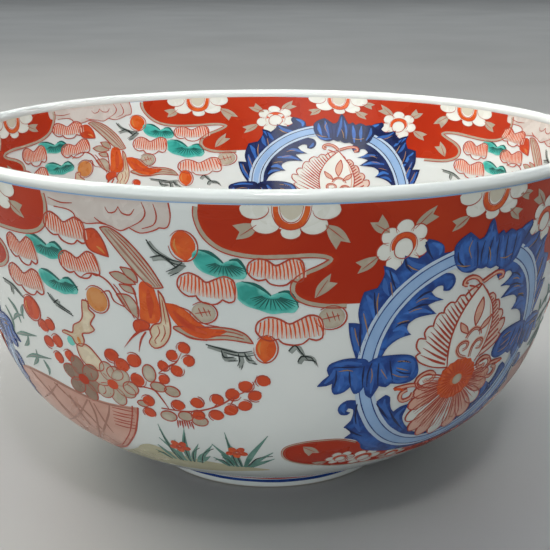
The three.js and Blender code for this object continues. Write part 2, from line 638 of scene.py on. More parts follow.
# ---------------------------------------------------------------- the painted motifs
def blossom(draw, angle, down, radius, petals=7, start=0):
    """A white blossom of round petals with an orange arch over its pale heart."""
    spot = Spot(angle, down)
    for k in range(petals):
        turn = 2 * math.pi * (k + start) / petals
        place = spot.at([(0.7 * radius * math.cos(turn), 0.7 * radius * math.sin(turn))])[0]
        petal = Spot(*place, turn=math.degrees(turn))
        draw.fill("white", 3, oval(petal, 0.36 * radius, 0.36 * radius), step=1.4)
        outer_half = oval(petal, 0.35 * radius, 0.35 * radius)[range(-4, 5)]
        draw.stroke("red_line", 4.2, outer_half, 0.5, 0.3, 0.3)
    draw.fill("white", 3, oval(spot, 0.58 * radius, 0.58 * radius))
    arch = np.array([(math.cos(t), -math.sin(t)) for t in np.linspace(-0.5, 3.5, 12)])
    draw.stroke("orange", 4, spot.at(0.42 * radius * arch), 0.2 * radius, 0.4, 0.6)
    draw.stroke("red_line", 5, spot.at(0.53 * radius * arch), 0.35, 0.4, 0.4)
    heart = [
        (-0.36, 0.12), (-0.26, -0.2), (0.02, -0.32), (0.28, -0.18), (0.38, 0.14), (0.24, 0.42), (0, 0.5),
        (-0.26, 0.4),
    ]
    draw.outlined("white", "red_line", 5, spot.at(scaled(heart, radius, radius)), 0.35)


def rim_blossom(draw, angle, half_width, depth):
    """A blossom cut off by the lip, with an orange horseshoe that opens upwards."""
    spot = Spot(angle, 0)
    petals = (
        (-0.98, 0.16, 0.42), (-0.68, 0.58, 0.42), (0.0, 0.82, 0.3), (0.62, 0.62, 0.42), (0.95, 0.2, 0.42),
    )
    for x, y, size in petals:
        petal = spot.at([(x * half_width, y * depth)])[0]
        reach = size * half_width
        outline = oval(Spot(*petal), reach * 0.92, size * depth * 0.66)
        draw.fill("white", 3, outline, step=1.4)
        draw.stroke("red_line", 6, outline[[11, 0, 1, 2, 3, 4, 5, 6]], 0.4, 0.3, 0.3)
    cup = [(-0.9, 0), (-0.8, 0.5), (0, 0.75), (0.8, 0.5), (0.9, 0)]
    draw.fill("white", 3, spot.at(scaled(cup, half_width, depth)))
    shoe = [(-0.42, 0.0), (-0.4, 0.3), (-0.26, 0.56), (0, 0.66), (0.26, 0.56), (0.4, 0.3), (0.44, 0.0)]
    shoe = scaled(shoe, half_width, depth)
    draw.stroke("orange", 5, spot.at(shoe), 0.19 * half_width, 0.7, 0.7)
    draw.stroke("red_line", 6, spot.at(scaled(shoe, 1.24, 1.12)), 0.4, 0.5, 0.5)
    draw.stroke("red_line", 6, spot.at(scaled(shoe, 0.74, 0.82)), 0.3, 0.5, 0.5)
    heart = [(-0.3, 0.02), (-0.24, 0.3), (0, 0.46), (0.24, 0.3), (0.3, 0.02)]
    draw.fill("cream", 4, spot.at(scaled(heart, half_width, depth)))


def split_leaf(draw, angle, down, turn, length, width):
    """A gilt leaf on the red ground, narrow at its stalk, with two uneven points."""
    spot = Spot(angle, down, turn)
    shape = [
        (0, 0), (0, 0), (0.3, -0.42), (0.62, -0.5), (1.0, -0.34), (1.0, -0.34), (0.74, 0.02), (0.74, 0.02),
        (0.86, 0.56), (0.86, 0.56), (0.46, 0.42), (0.2, 0.22),
    ]
    draw.fill("tan", 3, spot.at(scaled(shape, length, width)), step=1.3)
    vein = [(0.05, 0.02), (0.4, -0.1), (0.78, -0.2)]
    draw.stroke("red_line", 6, spot.at(scaled(vein, length, width)), 0.3, 0.5, 0.2)


FAN_TOP = (
    (-0.5, -0.12), (-0.46, -0.34), (-0.3, -0.5), (-0.13, -0.4), (0.0, -0.24), (0.14, -0.36), (0.3, -0.5),
    (0.45, -0.4), (0.5, -0.14),
)
FAN_FOOT = (
    (0.5, 0.1), (0.49, 0.3), (0.4, 0.38), (0.29, 0.3), (0.29, 0.3), (0.2, 0.46), (0.06, 0.5), (-0.1, 0.42),
    (-0.17, 0.26), (-0.17, 0.26), (-0.3, 0.31), (-0.42, 0.2), (-0.49, 0.02),
)
TUFT = (
    (-0.5, -0.3), (-0.4, -0.48), (-0.22, -0.46), (-0.05, -0.3), (0.06, -0.14), (0.06, -0.14), (0.16, -0.28),
    (0.3, -0.36), (0.44, -0.1), (0.5, 0.14), (0.5, 0.14), (0.46, 0.34), (0.3, 0.4), (0.12, 0.5),
    (-0.08, 0.42), (-0.28, 0.34), (-0.44, 0.1),
)


def pine_fan(draw, left, right, top, bottom, kind, tilt):
    """A clump of pine needles as a scalloped fan: turquoise with dark needles, or white with orange ones."""
    draw.anchor = (left + right) / 2
    middle = (top + bottom) / 2
    wide, tall = (right - left) * across(middle), bottom - top
    spot = Spot(draw.anchor, middle, tilt)

    def inside(places):
        return spot.at(scaled(places, wide, tall))

    tops = np.array(FAN_TOP)
    if kind == "turquoise":
        draw.fill("green", 3, inside(TUFT))
        for turn in range(-62, 84, 11):
            lean = math.radians(turn)
            reach = 0.46 if turn > -30 else 0.34
            root = (0.06 + 0.14 * math.sin(lean), -0.14 + 0.1 * math.cos(lean))
            tip = (0.06 + reach * math.sin(lean), -0.1 + reach * math.cos(lean))
            draw.stroke("deep_green", 5, inside([root, tip]), 0.5, 0.9, 0.2)
        draw.stroke("deep_green", 4, inside(TUFT[1:5]), 1.1, 0.2, 0.5)
        draw.stroke("deep_green", 4, inside(TUFT[6:10]), 1.1, 0.4, 0.3)
        return
    draw.stroke("red_line", 6, inside(FAN_TOP + FAN_FOOT), 0.55, closed=True)
    for u in np.linspace(-0.44, 0.44, 15):
        crown = np.interp(u, tops[:, 0], tops[:, 1])
        foot = max(0.27 - 0.6 * (u - 0.1) ** 2, crown + 0.12)
        path = [(u * 0.96, crown + 0.03), (u * 1.03 + 0.018, (crown + foot) / 2), (u * 1.1 + 0.02, foot)]
        draw.stroke("peach", 4, inside([(x + 0.02, y) for x, y in path]), 1.5, 1.0, 0.5)
        draw.stroke("orange", 5, inside(path), 0.62, 0.9, 0.25)


def fruit(draw, angle, down, across_radius, down_radius, wash="orange", turn=0, pointed=False):
    """A round fruit with a paler cheek and a loose red line round it."""
    draw.anchor = angle
    spot = Spot(angle, down, turn)
    tip = [
        (0, -1.08), (0.62, -0.8), (0.98, -0.1), (0.72, 0.62), (0, 1.12), (0, 1.12), (-0.72, 0.6),
        (-0.98, -0.1), (-0.62, -0.8),
    ]
    outline = spot.at(scaled(tip, across_radius, down_radius))
    if not pointed:
        outline = oval(spot, across_radius, down_radius)
    draw.fill(wash, 3, outline, step=1.3)
    turns = np.linspace(-2.4, 3.2, 12)
    loose = [(math.cos(t) * across_radius * 1.16, math.sin(t) * down_radius * 1.12) for t in turns]
    draw.stroke("red_line", 6, spot.at(loose), 0.5, 0.3, 0.3)
    if wash == "tan":
        for bar in (
            [(-0.4, -0.5), (-0.1, 0.4)], [(0.0, -0.6), (0.3, 0.3)], [(0.4, -0.4), (0.6, 0.3)],
            [(-0.7, 0.1), (0.6, -0.2)],
        ):
            draw.stroke("red_line", 6, spot.at(scaled(bar, across_radius, down_radius)), 0.4, 0.5, 0.4)
    else:
        cheek = [(-0.5, -0.55), (-0.68, -0.1), (-0.5, 0.45)]
        draw.stroke("amber", 5, spot.at(scaled(cheek, across_radius, down_radius)), 1.0, 0.3, 0.3)


def berry(draw, angle, down, radius, anchor):
    """A small red berry with its outline set a little to one side."""
    draw.anchor = anchor
    hand = random.Random(round(angle * 31 + down * 7))
    radius *= hand.uniform(0.82, 0.92)
    spot = Spot(angle, down, hand.uniform(-40, 40))
    draw.fill("orange_red", 4, oval(spot, radius, radius * 0.92, 10), step=1.3)
    side = hand.uniform(0, 6)
    shift = np.array([0.35 * math.cos(side), 0.35 * math.sin(side)])
    loop = [
        (1.12 * radius * math.cos(t) + shift[0], 1.08 * radius * math.sin(t) + shift[1])
        for t in np.linspace(side, side + 4.6, 10)
    ]
    draw.stroke("red_line", 6, spot.at(loop), 0.42, 0.4, 0.3)


def petal_flower(draw, angle, down, radius, petals, wash, heart, anchor):
    """A small flower of round outlined petals round a red heart."""
    draw.anchor = anchor
    spot = Spot(angle, down)
    for k in range(petals):
        turn = 2 * math.pi * (k + 0.3) / petals
        place = spot.at([(0.95 * radius * math.cos(turn), 0.95 * radius * math.sin(turn))])[0]
        petal = oval(Spot(*place, turn=math.degrees(turn)), 0.72 * radius, 0.56 * radius, 10)
        draw.fill(wash, 3 + 0.4 * k, petal, step=1.4)
        draw.stroke("red_line", 3.25 + 0.4 * k, petal, 0.4, closed=True)
    draw.fill(heart, 6, oval(spot, 0.42 * radius, 0.38 * radius, 9), step=1.2)


def blades(draw, base_down, roots):
    """Grass blades, each from its root angle to a tip (angle, down)."""
    for root, tip_angle, tip_down, width in roots:
        bend = (root * 0.62 + tip_angle * 0.38, base_down * 0.5 + tip_down * 0.5)
        draw.stroke("leaf_green", 3, [(root, base_down), bend, (tip_angle, tip_down)], width, 0.5, 0.06)


def twig(draw, anchor, *paths):
    """A dry grey twig: a soft wash with broken ink lines beside it."""
    draw.anchor = anchor
    for path in paths:
        draw.stroke("grey", 3, path, 2.2, 0.7, 0.2)
        draw.stroke("ink", 6, [(a - 0.3, d - 0.8) for a, d in path], 0.6, 0.5, 0.2)
        draw.stroke("ink", 6, [(a + 0.25, d + 0.8) for a, d in path[1:]], 0.45, 0.3, 0.2)


# ---------------------------------------------------------------- the red clouds
def on_side(side, angle):
    """An angle of the drawing as it is for side 1, or on the other side of the medallion for side -1."""
    return FRONT + side * (angle - FRONT)


def red_cloud(draw):
    """The red cloud under the lip behind the medallion, its pale double edge, blossoms and gilt leaves."""
    draw.anchor = FRONT
    edge = [
        (-9.6, RIM_LINE), (-9.8, 5), (-9.3, 10), (-8.3, 14), (-6.5, 17.3), (-4, 19.2), (-1, 19.9),
        (2, 19.8), (5.5, 19.5), (8, 20.2), (9, 22), (8.4, 24), (7, 26), (5.3, 28), (4, 30.5), (3.6, 33.2),
        (4, 36), (5.6, 38.6), (8, 40), (11.5, 40.6), (15, 41),
    ]
    far = [(17.5, 43), (18.8, 40), (21, 35.5), (24, 31), (28.5, 27.5), (FRONT, 26.4)]
    left = edge + far
    right = mirrored(left)[1:]
    draw.fill("iron_red", 1, [left[0], *left, *right, right[-1]])
    rim = smooth(edge[:-1])
    for path in (rim, np.array(mirrored(rim))[::-1]):
        push = 1 if path is rim else -1
        draw.stroke("tan", 3, offset_path(path, 0.7 * push), 1.5, rounded=False)
        draw.stroke("red_line", 5, offset_path(path, 1.6 * push), 0.45, rounded=False)
    for side in (1, -1):
        rim_blossom(draw, on_side(side, 2.9), 13.2, 13.6)
        blossom(draw, on_side(side, 19.4), 18.6, 10.2, 7, start=0.2)
        for angle, down, turn, length, width in (
            (-1.6, 8.0, 155, 9.5, 6), (7.6, 8.3, 48, 12, 6), (17, 13, 222, 9, 5.5),
            (20.6, 12.5, -38, 12, 5), (15.8, 22, 150, 10, 5), (30.0, 9.6, 152, 9, 4.6),
            (6.6, 37.5, -52, 11, 5),
        ):
            turn_here = turn if side > 0 else 180 - turn
            split_leaf(draw, on_side(side, angle), down, turn_here, length, side * width)
    rim_blossom(draw, 34.3, 13, 12.4)
    split_leaf(draw, 39.6, 4.4, 8, 8, 4)


def offset_path(path, distance):
    """A path moved sideways by this many millimetres, to the left of its own direction seen from outside."""
    wide = across(path[:, 1])
    along = np.gradient(np.stack([path[:, 0] * wide.mean(), path[:, 1]], axis=1), axis=0)
    along /= np.maximum(np.linalg.norm(along, axis=1), 1e-9)[:, None]
    angle = path[:, 0] - along[:, 1] * distance / wide
    return np.stack([angle, path[:, 1] + along[:, 0] * distance], axis=1)


def foot_cloud(draw):
    """The lower red cloud under the medallion."""
    draw.anchor = FRONT
    edge = [
        (40, 133.5), (26, 133.3), (16, 132), (10, 128), (6, 124.6), (3, 119.5), (2.1, 113.5), (2.9, 108.6),
        (5.6, 106), (9, 105), (13, 105.4), (16.5, 108.6),
    ]
    under_medallion = [(20, 113), (30, 119), (40, 119), (50, 113), (54, 118), (52, 126), (46, 132)]
    draw.fill("iron_red", 1, edge + under_medallion)
    draw.stroke("red_line", 5, offset_path(smooth(edge), 1.5), 0.5, 0.3, 0.6, rounded=False)
    draw.stroke("tan", 3, offset_path(smooth(edge), 0.5), 0.8, 0.4, 0.6, rounded=False)
    split_leaf(draw, 6.2, 109, 48, 9, 5)
    for angle, down, size in ((14.5, 121.5, 6), (20, 124, 7.5), (27.5, 127, 6.5)):
        blossom(draw, angle, down, size, 6)
    split_leaf(draw, 12, 124, 160, 7, 4)
    split_leaf(draw, 24, 127, 20, 6, 4)


# ---------------------------------------------------------------- the blue medallion
def wreath_path(low, high, out=0.0, count=25):
    """Places along the left of the medallion's band between two turns, 0 at its top and 180 at its foot."""
    places = []
    for turn in np.radians(np.linspace(low, high, count)):
        sharp = 2 / (2.15 if math.cos(turn) > 0 else 1.95)
        x = -(WREATH_WIDTH / 2 + out) * abs(math.sin(turn)) ** sharp / across(WREATH_MIDDLE)
        y = -(WREATH_HEIGHT / 2 + out) * math.copysign(abs(math.cos(turn)) ** sharp, math.cos(turn))
        places.append((FRONT + x, WREATH_MIDDLE + y))
    return places


def leafy_edge(draw, outline):
    """One run of the wreath's leaves, on both sides of the medallion."""
    for side in both_sides(outline):
        draw.fill("cobalt", 7, [side[0], *side, side[-1]])


def wreath(draw):
    """The pale-blue band of the medallion, with cobalt leaves outside and inside, a crown and side bows."""
    draw.anchor = FRONT
    for side in both_sides(wreath_path(0, 180, count=40)):
        draw.stroke("ice", 8, side, 7.8)
        draw.stroke("pale_blue", 9, side, 4.4)
    for out in (2.2, -2.2):
        draw.strokes("cobalt", 10, both_sides(wreath_path(0, 180, out, 40)), 0.45)
    outer = [
        (26.4, 23.6), (26.2, 20.6), (24.9, 18.2), (23.3, 16.9), (23.3, 16.9), (22.8, 19.5), (23.3, 22),
        (22.2, 24.4), (22.2, 24.4), (21.2, 23.8), (19.8, 22.6), (19.8, 22.6), (19.6, 25.5), (18.6, 28.3),
        (18.6, 28.3), (17.8, 27), (16.6, 26), (16.6, 26), (16.9, 29.5), (16.5, 32.6), (16, 35), (16, 35),
        (15.2, 35.4), (14, 36.2), (14, 36.2), (13.6, 40), (13.4, 45), (13.8, 49.5), (13.8, 49.5), (13, 49),
        (12, 48.8), (12, 48.8), (12.3, 54), (13, 60), (13.8, 65.5),
    ]
    leafy_edge(draw, outer + wreath_path(90, 12, 3.2, 12))
    inner = [
        (27.6, 32.3), (28.8, 33), (29.5, 35.4), (29.4, 38), (28.6, 40), (27.5, 39.6), (27.5, 39.6),
        (27.3, 37.4), (26.2, 37.4), (25.3, 39.3), (25.3, 39.3), (26.2, 41.6), (27.8, 43.5), (27.8, 43.5),
        (26.3, 43.8), (25, 44.8), (25, 44.8), (26, 47.2), (26.9, 49.2), (26.9, 49.2), (25, 49.2),
        (23.2, 49.8), (22, 51.8), (22, 51.8), (21.9, 54.4), (22.8, 56.7), (22.8, 56.7), (21, 57.5),
        (19.5, 59.6), (18.6, 62), (18, 65),
    ]
    leafy_edge(draw, inner + wreath_path(84, 22, -3.2, 10))
    lower_outer = [
        (15.4, 85), (14.4, 84.3), (13, 84.1), (11.9, 86), (11.6, 88.6), (12.2, 91), (13.4, 91.4),
        (13.9, 90.4), (13.9, 90.4), (13.1, 89.4), (13.4, 88), (14.3, 88.8), (14.5, 91.4), (14.3, 95),
        (14.3, 95), (13.2, 98.4), (13.2, 98.4), (14.2, 100), (14.8, 102.8), (14.8, 102.8), (13.8, 105.2),
        (13.8, 105.2), (16, 107), (17.4, 110.6), (18.3, 115), (21.5, 118.8), (26, 121.6), (FRONT, 123.5),
    ]
    leafy_edge(draw, lower_outer + wreath_path(180, 106, 3.2, 14))
    lower_inner = [
        (18, 88), (18.8, 85.6), (20, 83.6), (20, 83.6), (20.9, 85), (21.1, 88), (21.6, 91.2), (22.3, 93.2),
        (22.3, 93.2), (23.4, 91.2), (25, 90.4), (25, 90.4), (24.7, 93.5), (24.5, 97), (25.3, 101),
        (26.6, 104.6), (28.4, 108.4), (31, 111.6), (FRONT, 112.8),
    ]
    leafy_edge(draw, lower_inner + wreath_path(180, 112, -3.2, 12))
    crown(draw)
    bow = [
        (9.4, 66.6), (10.4, 65.3), (12.4, 64.3), (15.2, 64.9), (15.9, 66.6), (15.9, 66.6), (17.2, 65),
        (19.5, 64.8), (22.2, 65.4), (24, 67), (24.9, 70.2), (25.4, 75), (24.6, 78), (22.8, 79), (20.4, 78),
        (20.4, 78), (19.6, 79.4), (18.3, 78.4), (18.3, 78.4), (17.9, 80.6), (17.2, 84), (17.2, 84),
        (16.1, 82), (15.6, 78), (15.6, 78), (15, 80.2), (14, 80.8), (13.2, 77.4), (13.2, 77.4),
        (12.2, 79.6), (10.6, 80.3), (10.1, 77.6), (10.2, 75), (10.2, 75), (9.1, 76), (7.7, 76.1),
        (7.7, 76.1), (8.5, 73.6), (9.5, 71.4), (9.5, 71.4), (9.1, 69),
    ]
    for side in both_sides(bow):
        draw.fill("cobalt", 11, side)
    leaf_veins(draw)


def crown(draw):
    """The tuft of five lobes at the top of the medallion."""
    shape = [
        (28.3, 26), (28.3, 26), (28.2, 22), (29, 19), (30.7, 16.5), (30.7, 16.5), (31.8, 18.4),
        (32.7, 20.2), (32.7, 20.2), (33.6, 19.6), (34.1, 17), (34.3, 14.4), (34.8, 12.2), (34.8, 12.2),
        (35.4, 14.2), (35.9, 17), (36.6, 19.8), (36.6, 19.8), (37.6, 18.2), (37.6, 18.2), (38.3, 20),
        (38.3, 20), (39.6, 18.5), (40.8, 20), (40.8, 20), (42.2, 19.5), (43.3, 21.5), (43.6, 24.5),
        (43, 28.5), (43, 28.5), (42.6, 31.6), (41, 34.4), (39.2, 35), (37.6, 33.2), (37.6, 33.2),
        (36.4, 33.9), (35.3, 32.6), (35.3, 32.6), (34.5, 33.1), (33.5, 32.4), (33.5, 32.4), (32.2, 33.8),
        (30.3, 32.6), (29, 29.6),
    ]
    draw.fill("cobalt", 11, shape)
    for path, width in (
        ([(29.3, 21), (29.6, 25), (30.6, 30.5)], 2.2), ([(30.8, 18.5), (31.4, 24), (32.4, 31)], 2.0),
        ([(34.8, 14.5), (34.7, 21), (34.3, 30)], 1.7), ([(35.4, 17), (36.2, 24), (36.6, 31)], 1.3),
        ([(37.7, 20.5), (38.2, 26), (38.8, 33)], 2.2), ([(39.8, 20.5), (39.9, 26), (40.4, 32)], 2.0),
        ([(42.2, 21.5), (42.3, 26), (41.6, 31)], 1.8), ([(29.5, 30), (31, 32.2), (33, 31.5)], 1.5),
    ):
        draw.stroke("blue_wash", 12, path, width, 0.25, 0.35)
    lines = (
        [(28.9, 24), (29.4, 28), (31, 31)], [(32.3, 21), (32.9, 26), (33.3, 31.4)],
        [(33.9, 21), (33.7, 26), (34, 31)], [(35.6, 20), (35.3, 26), (35.5, 31.6)],
        [(37, 21), (37.2, 27), (37.6, 32)], [(39, 21), (39.2, 27), (39.6, 32)],
        [(41.1, 21), (41.2, 27), (41, 33)],
    )
    draw.strokes("navy", 12.6, lines, 0.8, 0.4, 0.3)
    lines = (
        [(31.3, 20), (30.9, 23), (31.2, 25), (31.8, 27.6)], [(35, 24), (35.6, 27), (36, 30.4)],
        [(38.2, 30), (39.6, 30.6), (41, 29.6)], [(29.2, 29.4), (30.4, 30.4), (31.8, 30.6)],
    )
    draw.strokes("gold", 13.2, lines, 0.5, 0.4, 0.3)


def leaf_veins(draw):
    """Lighter brush strokes, dark folds and gold veins over the wreath's leaves, on both sides."""
    washes = (
        ([(25.6, 24), (25.6, 21), (24, 18.6)], 2.0), ([(20.2, 24), (21.6, 27), (24, 28.4)], 1.8),
        ([(17, 27.8), (18.4, 31), (19.4, 34)], 2.0), ([(16.9, 31), (17.3, 35.5), (18, 38.5)], 1.7),
        ([(14.4, 37.5), (15.4, 42), (16, 48)], 2.0), ([(14.2, 44), (14.6, 50), (14.8, 57)], 1.8),
        ([(12.5, 50.5), (13.2, 56), (14.2, 63)], 1.8), ([(28.8, 35.5), (28.6, 37.6), (28, 39)], 1.6),
        ([(22.8, 41), (25, 41.4), (26.8, 43)], 1.7), ([(20.8, 47), (23.6, 46.4), (26, 48.4)], 2.0),
        ([(19.4, 54), (20.8, 53), (22.2, 55.8)], 2.0), ([(18.6, 59.5), (19.6, 57), (21.4, 56.6)], 1.6),
        ([(12.8, 85.6), (12.4, 88), (12.9, 90.3)], 1.4), ([(14.8, 90), (15.3, 96), (16.5, 102)], 1.8),
        ([(19.9, 85.4), (20.2, 90), (22, 96)], 1.6), ([(24.3, 92), (23.2, 96), (24.6, 102)], 1.8),
        ([(16.8, 106), (18.6, 111), (22, 116)], 1.6),
    )
    folds = (
        [(22.9, 18), (23.6, 22), (24.6, 25.5)], [(19.9, 24), (20.3, 27), (21.2, 29.6)],
        [(17.6, 28), (18.4, 33), (19, 36)], [(15.6, 36.6), (15.9, 42), (16.2, 46)],
        [(13.9, 49.4), (14, 55), (14.3, 62)], [(25.5, 38.8), (24, 39.6), (22.6, 42)],
        [(25.2, 44.4), (23.6, 44.4), (21.6, 46)], [(22.3, 51), (20.8, 51), (19.8, 52.5)],
        [(14.9, 86), (14.9, 92), (15.4, 97)], [(13.6, 98.6), (15.2, 102), (17.2, 105)],
        [(21.4, 92), (23, 98), (25.6, 105)], [(18.4, 87), (19.6, 91), (21.6, 97)],
    )
    golds = (
        [(16.3, 37), (16.2, 41), (16.6, 47)], [(14.2, 45), (14.8, 50), (15.4, 55)],
        [(13, 51), (13.4, 55), (14, 59)], [(18, 33), (18.3, 36), (18.6, 39)],
        [(22.8, 43), (23.6, 41.9), (24.9, 41.6)], [(21.8, 46.8), (22.8, 45.9), (24, 45.8)],
        [(20, 51), (21, 50.4), (22, 50.2)], [(20.4, 26.5), (21.4, 28.4), (22.4, 29.4)],
    )
    bow_washes = (
        ([(10.4, 66.6), (12.4, 66), (14.8, 67)], 1.6), ([(10.3, 68.6), (9.9, 72), (8.8, 74.8)], 2.0),
        ([(11.6, 70), (11.6, 75), (11.2, 78.8)], 2.2), ([(13.6, 70), (14, 75), (14.2, 79)], 1.8),
        ([(16.7, 70), (16.9, 76), (17, 81.6)], 1.8), ([(18, 68), (18.8, 73), (19.4, 77.6)], 2.0),
        ([(22, 66.8), (23.6, 68.6), (24.3, 72), (24, 76)], 1.8),
        ([(20.4, 75.4), (21.6, 77.6), (23.4, 77.4)], 1.4),
    )
    bow_folds = (
        [(10.2, 67.6), (12.6, 68), (15, 68.4)], [(10.6, 69), (10.7, 73), (10.4, 77)],
        [(12.8, 69.6), (13, 74), (13.3, 77)], [(15.2, 68), (15.2, 74), (15.4, 78)],
        [(16.5, 67), (16, 72), (16.1, 78)], [(17.7, 67.4), (17.8, 73), (18.1, 78)],
        [(19.6, 67), (20, 71), (20.6, 76)], [(21.2, 68.4), (22.4, 68.2), (23.6, 69.4)],
        [(21, 72), (22.4, 73.8), (23.9, 74.6)],
    )
    bow_golds = (
        [(21, 67.8), (22.2, 68.2), (23.4, 69.2)], [(21, 70.8), (22, 71.8), (23.3, 73)],
        [(20.4, 73.4), (21.8, 75.2), (23.6, 76)], [(18.2, 70.5), (18.9, 73), (19.6, 75.4)],
        [(16.5, 69.6), (16.8, 73), (16.7, 76.4)], [(11, 69.6), (12.4, 69.3), (13.4, 70)],
    )
    for flip in (as_drawn, mirrored):
        for path, width in washes:
            draw.stroke("blue_wash", 8, flip(path), width * 1.15, 0.3, 0.3)
        for path in folds:
            draw.stroke("navy", 8.6, flip(path), 0.9, 0.4, 0.3)
        for path in golds:
            draw.stroke("gold", 9.2, flip(path), 0.5, 0.4, 0.3)
        for path, width in bow_washes:
            draw.stroke("blue_wash", 12, flip(path), width, 0.3, 0.3)
        for path in bow_folds:
            draw.stroke("navy", 12.6, flip(path), 0.75, 0.4, 0.3)
        for path in bow_golds:
            draw.stroke("gold", 13.2, flip(path), 0.5, 0.4, 0.3)


def medallion_flower(draw):
    """The flower in the medallion: orange disk, standing white petal, striped wings, scrolls and a skirt."""
    draw.anchor = FRONT
    heart = (34.4, 82.5)
    wing = [
        (35.3, 39.6), (33.4, 41.2), (32.2, 43.8), (32.2, 43.8), (31.2, 43.2), (30.4, 46), (30.4, 46),
        (29.4, 45.4), (28.5, 47.4), (28.4, 49.6), (28.4, 49.6), (27.5, 49.4), (26.9, 52), (26.8, 54.6),
        (26.8, 54.6), (25.9, 54.6), (25.3, 57), (25.8, 60), (25.8, 60), (24.4, 59.4), (24.2, 63),
        (25.2, 66), (25.2, 66), (24.4, 67), (25.2, 70), (27, 72.6), (29, 74.4), (31.4, 75.6),
    ]
    inner_edge = [(31.4, 75.6), (30.8, 68), (30.9, 60), (31.7, 53), (33.2, 46), (35.3, 39.6)]
    for flip, wash in ((as_drawn, "white"), (mirrored, "peach")):
        draw.fill(wash, 3, flip(wing + inner_edge))
        draw.stroke("red_line", 7, flip(wing), 0.55)
        for t in np.linspace(0.03, 0.92, 17):
            root = (31.2 - 0.3 * math.sin(3 * t) + 3.2 * t * t, 75 - 32 * t)
            rise = np.interp(t, (0, 0.15, 0.45, 0.65, 0.85), (6.5, 10, 10, 7.5, 4.5))
            tip = (root[0] - 5.2 * (1 - t) - 0.9, root[1] - rise)
            bend = ((root[0] + tip[0]) / 2 + 0.15, (root[1] + tip[1]) / 2 + 0.6)
            draw.stroke("red_line", 6, flip([root, bend, tip]), 0.95 - 0.3 * t, 0.9, 0.15)
    petal = [
        (31.4, 75.4), (30.9, 68), (31, 60), (31.8, 53), (33.3, 46), (35.4, 40), (35.4, 40), (37.3, 45),
        (38.9, 50.5), (39.9, 57), (39.9, 64), (39.1, 71), (37.9, 76),
    ]
    draw.fill("white", 8, petal)
    draw.stroke("red_line", 11, petal, 0.6)
    draw.stroke("salmon", 10, [(38.2, 49), (39.2, 56), (39.3, 63), (38.5, 71)], 0.9, 0.2, 0.2)
    for leaf in (
        [(36.3, 46), (36.3, 46), (35.4, 50), (35.2, 54.4), (35.9, 58.6), (35.9, 58.6), (36.7, 54.6),
        (36.9, 50)], [(32.3, 55.4), (32.3, 55.4), (32.8, 59.4), (34.6, 61.6), (34.6, 61.6), (33.9, 58)],
        [(39.5, 55.4), (39.5, 55.4), (38.9, 59.4), (37, 61.6), (37, 61.6), (37.9, 58)],
    ):
        draw.outlined("salmon", "red_line", 10, leaf, 0.5)
    curls = (
        [(35.1, 73), (33.6, 71.4), (32.7, 68.4), (33, 65.6), (34.3, 64.7), (35.2, 66), (35, 68.4),
        (34.1, 69.2)], [(36.0, 73), (36.1, 68.6), (37, 65.6), (38.3, 65.5), (38.8, 67.6), (38.2, 70),
        (37.3, 69.6)], [(34.2, 63.4), (34.9, 60.6), (36.1, 59.4), (37.3, 60.6), (37.9, 63.2)],
    )
    for curl in curls:
        draw.stroke("salmon", 10, curl, 1.5, 0.6, 0.5)
        draw.stroke("red_line", 12, curl, 0.55, 0.6, 0.5)
        draw.stroke("red_line", 12, offset_path(smooth(curl), 0.95), 0.4, 0.4, 0.4, rounded=False)
    for curl in (
        [(35.2, 39.2), (34.2, 37), (32.9, 35.9), (31.7, 36.6), (31.4, 38.4), (32.2, 39)],
        [(35.6, 39), (37, 37.4), (38.4, 36.3), (39.7, 36.8), (40, 38.6), (39.2, 39.2)],
    ):
        draw.stroke("salmon", 10, curl, 1.7, 0.4, 0.5)
        draw.stroke("red_line", 12, offset_path(smooth(curl), 0.7), 0.5, rounded=False)
        draw.stroke("red_line", 12, offset_path(smooth(curl), -0.7), 0.5, rounded=False)
    skirt(draw, heart)
    side_scrolls(draw)
    disk = Spot(*heart)
    ragged = []
    for k in range(32):
        reach = 9.4 * (1 + 0.07 * (k % 2))
        turn = k * math.pi / 16
        ragged.append((reach * math.cos(turn), reach * math.sin(turn)))
    draw.fill("orange", 11, disk.at(ragged), closed_smooth=False)
    for k in range(26):
        turn = k * 2 * math.pi / 26 + 0.1
        ray = [(r * math.cos(turn), r * math.sin(turn)) for r in (3.4, 6, 9.6)]
        draw.stroke("orange_red", 12, disk.at(ray), 0.9, 0.6, 0.15)
    draw.fill("tan", 13, oval(Spot(34.6, 82.8), 2.4, 2.5, 10), step=1.2)


def skirt(draw, heart):
    """Long petals hanging round the lower half of the disk, white and salmon in turn."""
    spot = Spot(*heart)
    count = 13
    for k in range(count):
        turn = math.radians(-8 + 196 * k / (count - 1))
        reach = 19.5 + 11.5 * max(0, math.sin(turn)) ** 1.5
        tip = (reach * math.cos(turn), reach * math.sin(turn))
        petal = Spot(*spot.at([(tip[0] * 0.62, tip[1] * 0.62)])[0], turn=math.degrees(turn))
        breadth = 2.9 + 0.7 * math.sin(turn)
        shape = [
            (-0.42 * reach, -0.8), (0, -breadth), (0.3 * reach, -breadth), (0.42 * reach, 0),
            (0.3 * reach, breadth), (0, breadth), (-0.42 * reach, 0.8),
        ]
        wash = ("white", "salmon", "salmon")[k % 3]
        draw.fill(wash, 8, petal.at(shape))
        draw.stroke("red_line", 10, petal.at(shape), 0.5)
        for side in (-0.45, 0.1, 0.55):
            vein = [(-0.36 * reach, side * 1.2), (0, side * breadth), (0.24 * reach, side * breadth)]
            draw.stroke("red_line", 10, petal.at(vein), 0.45, 0.8, 0.1)


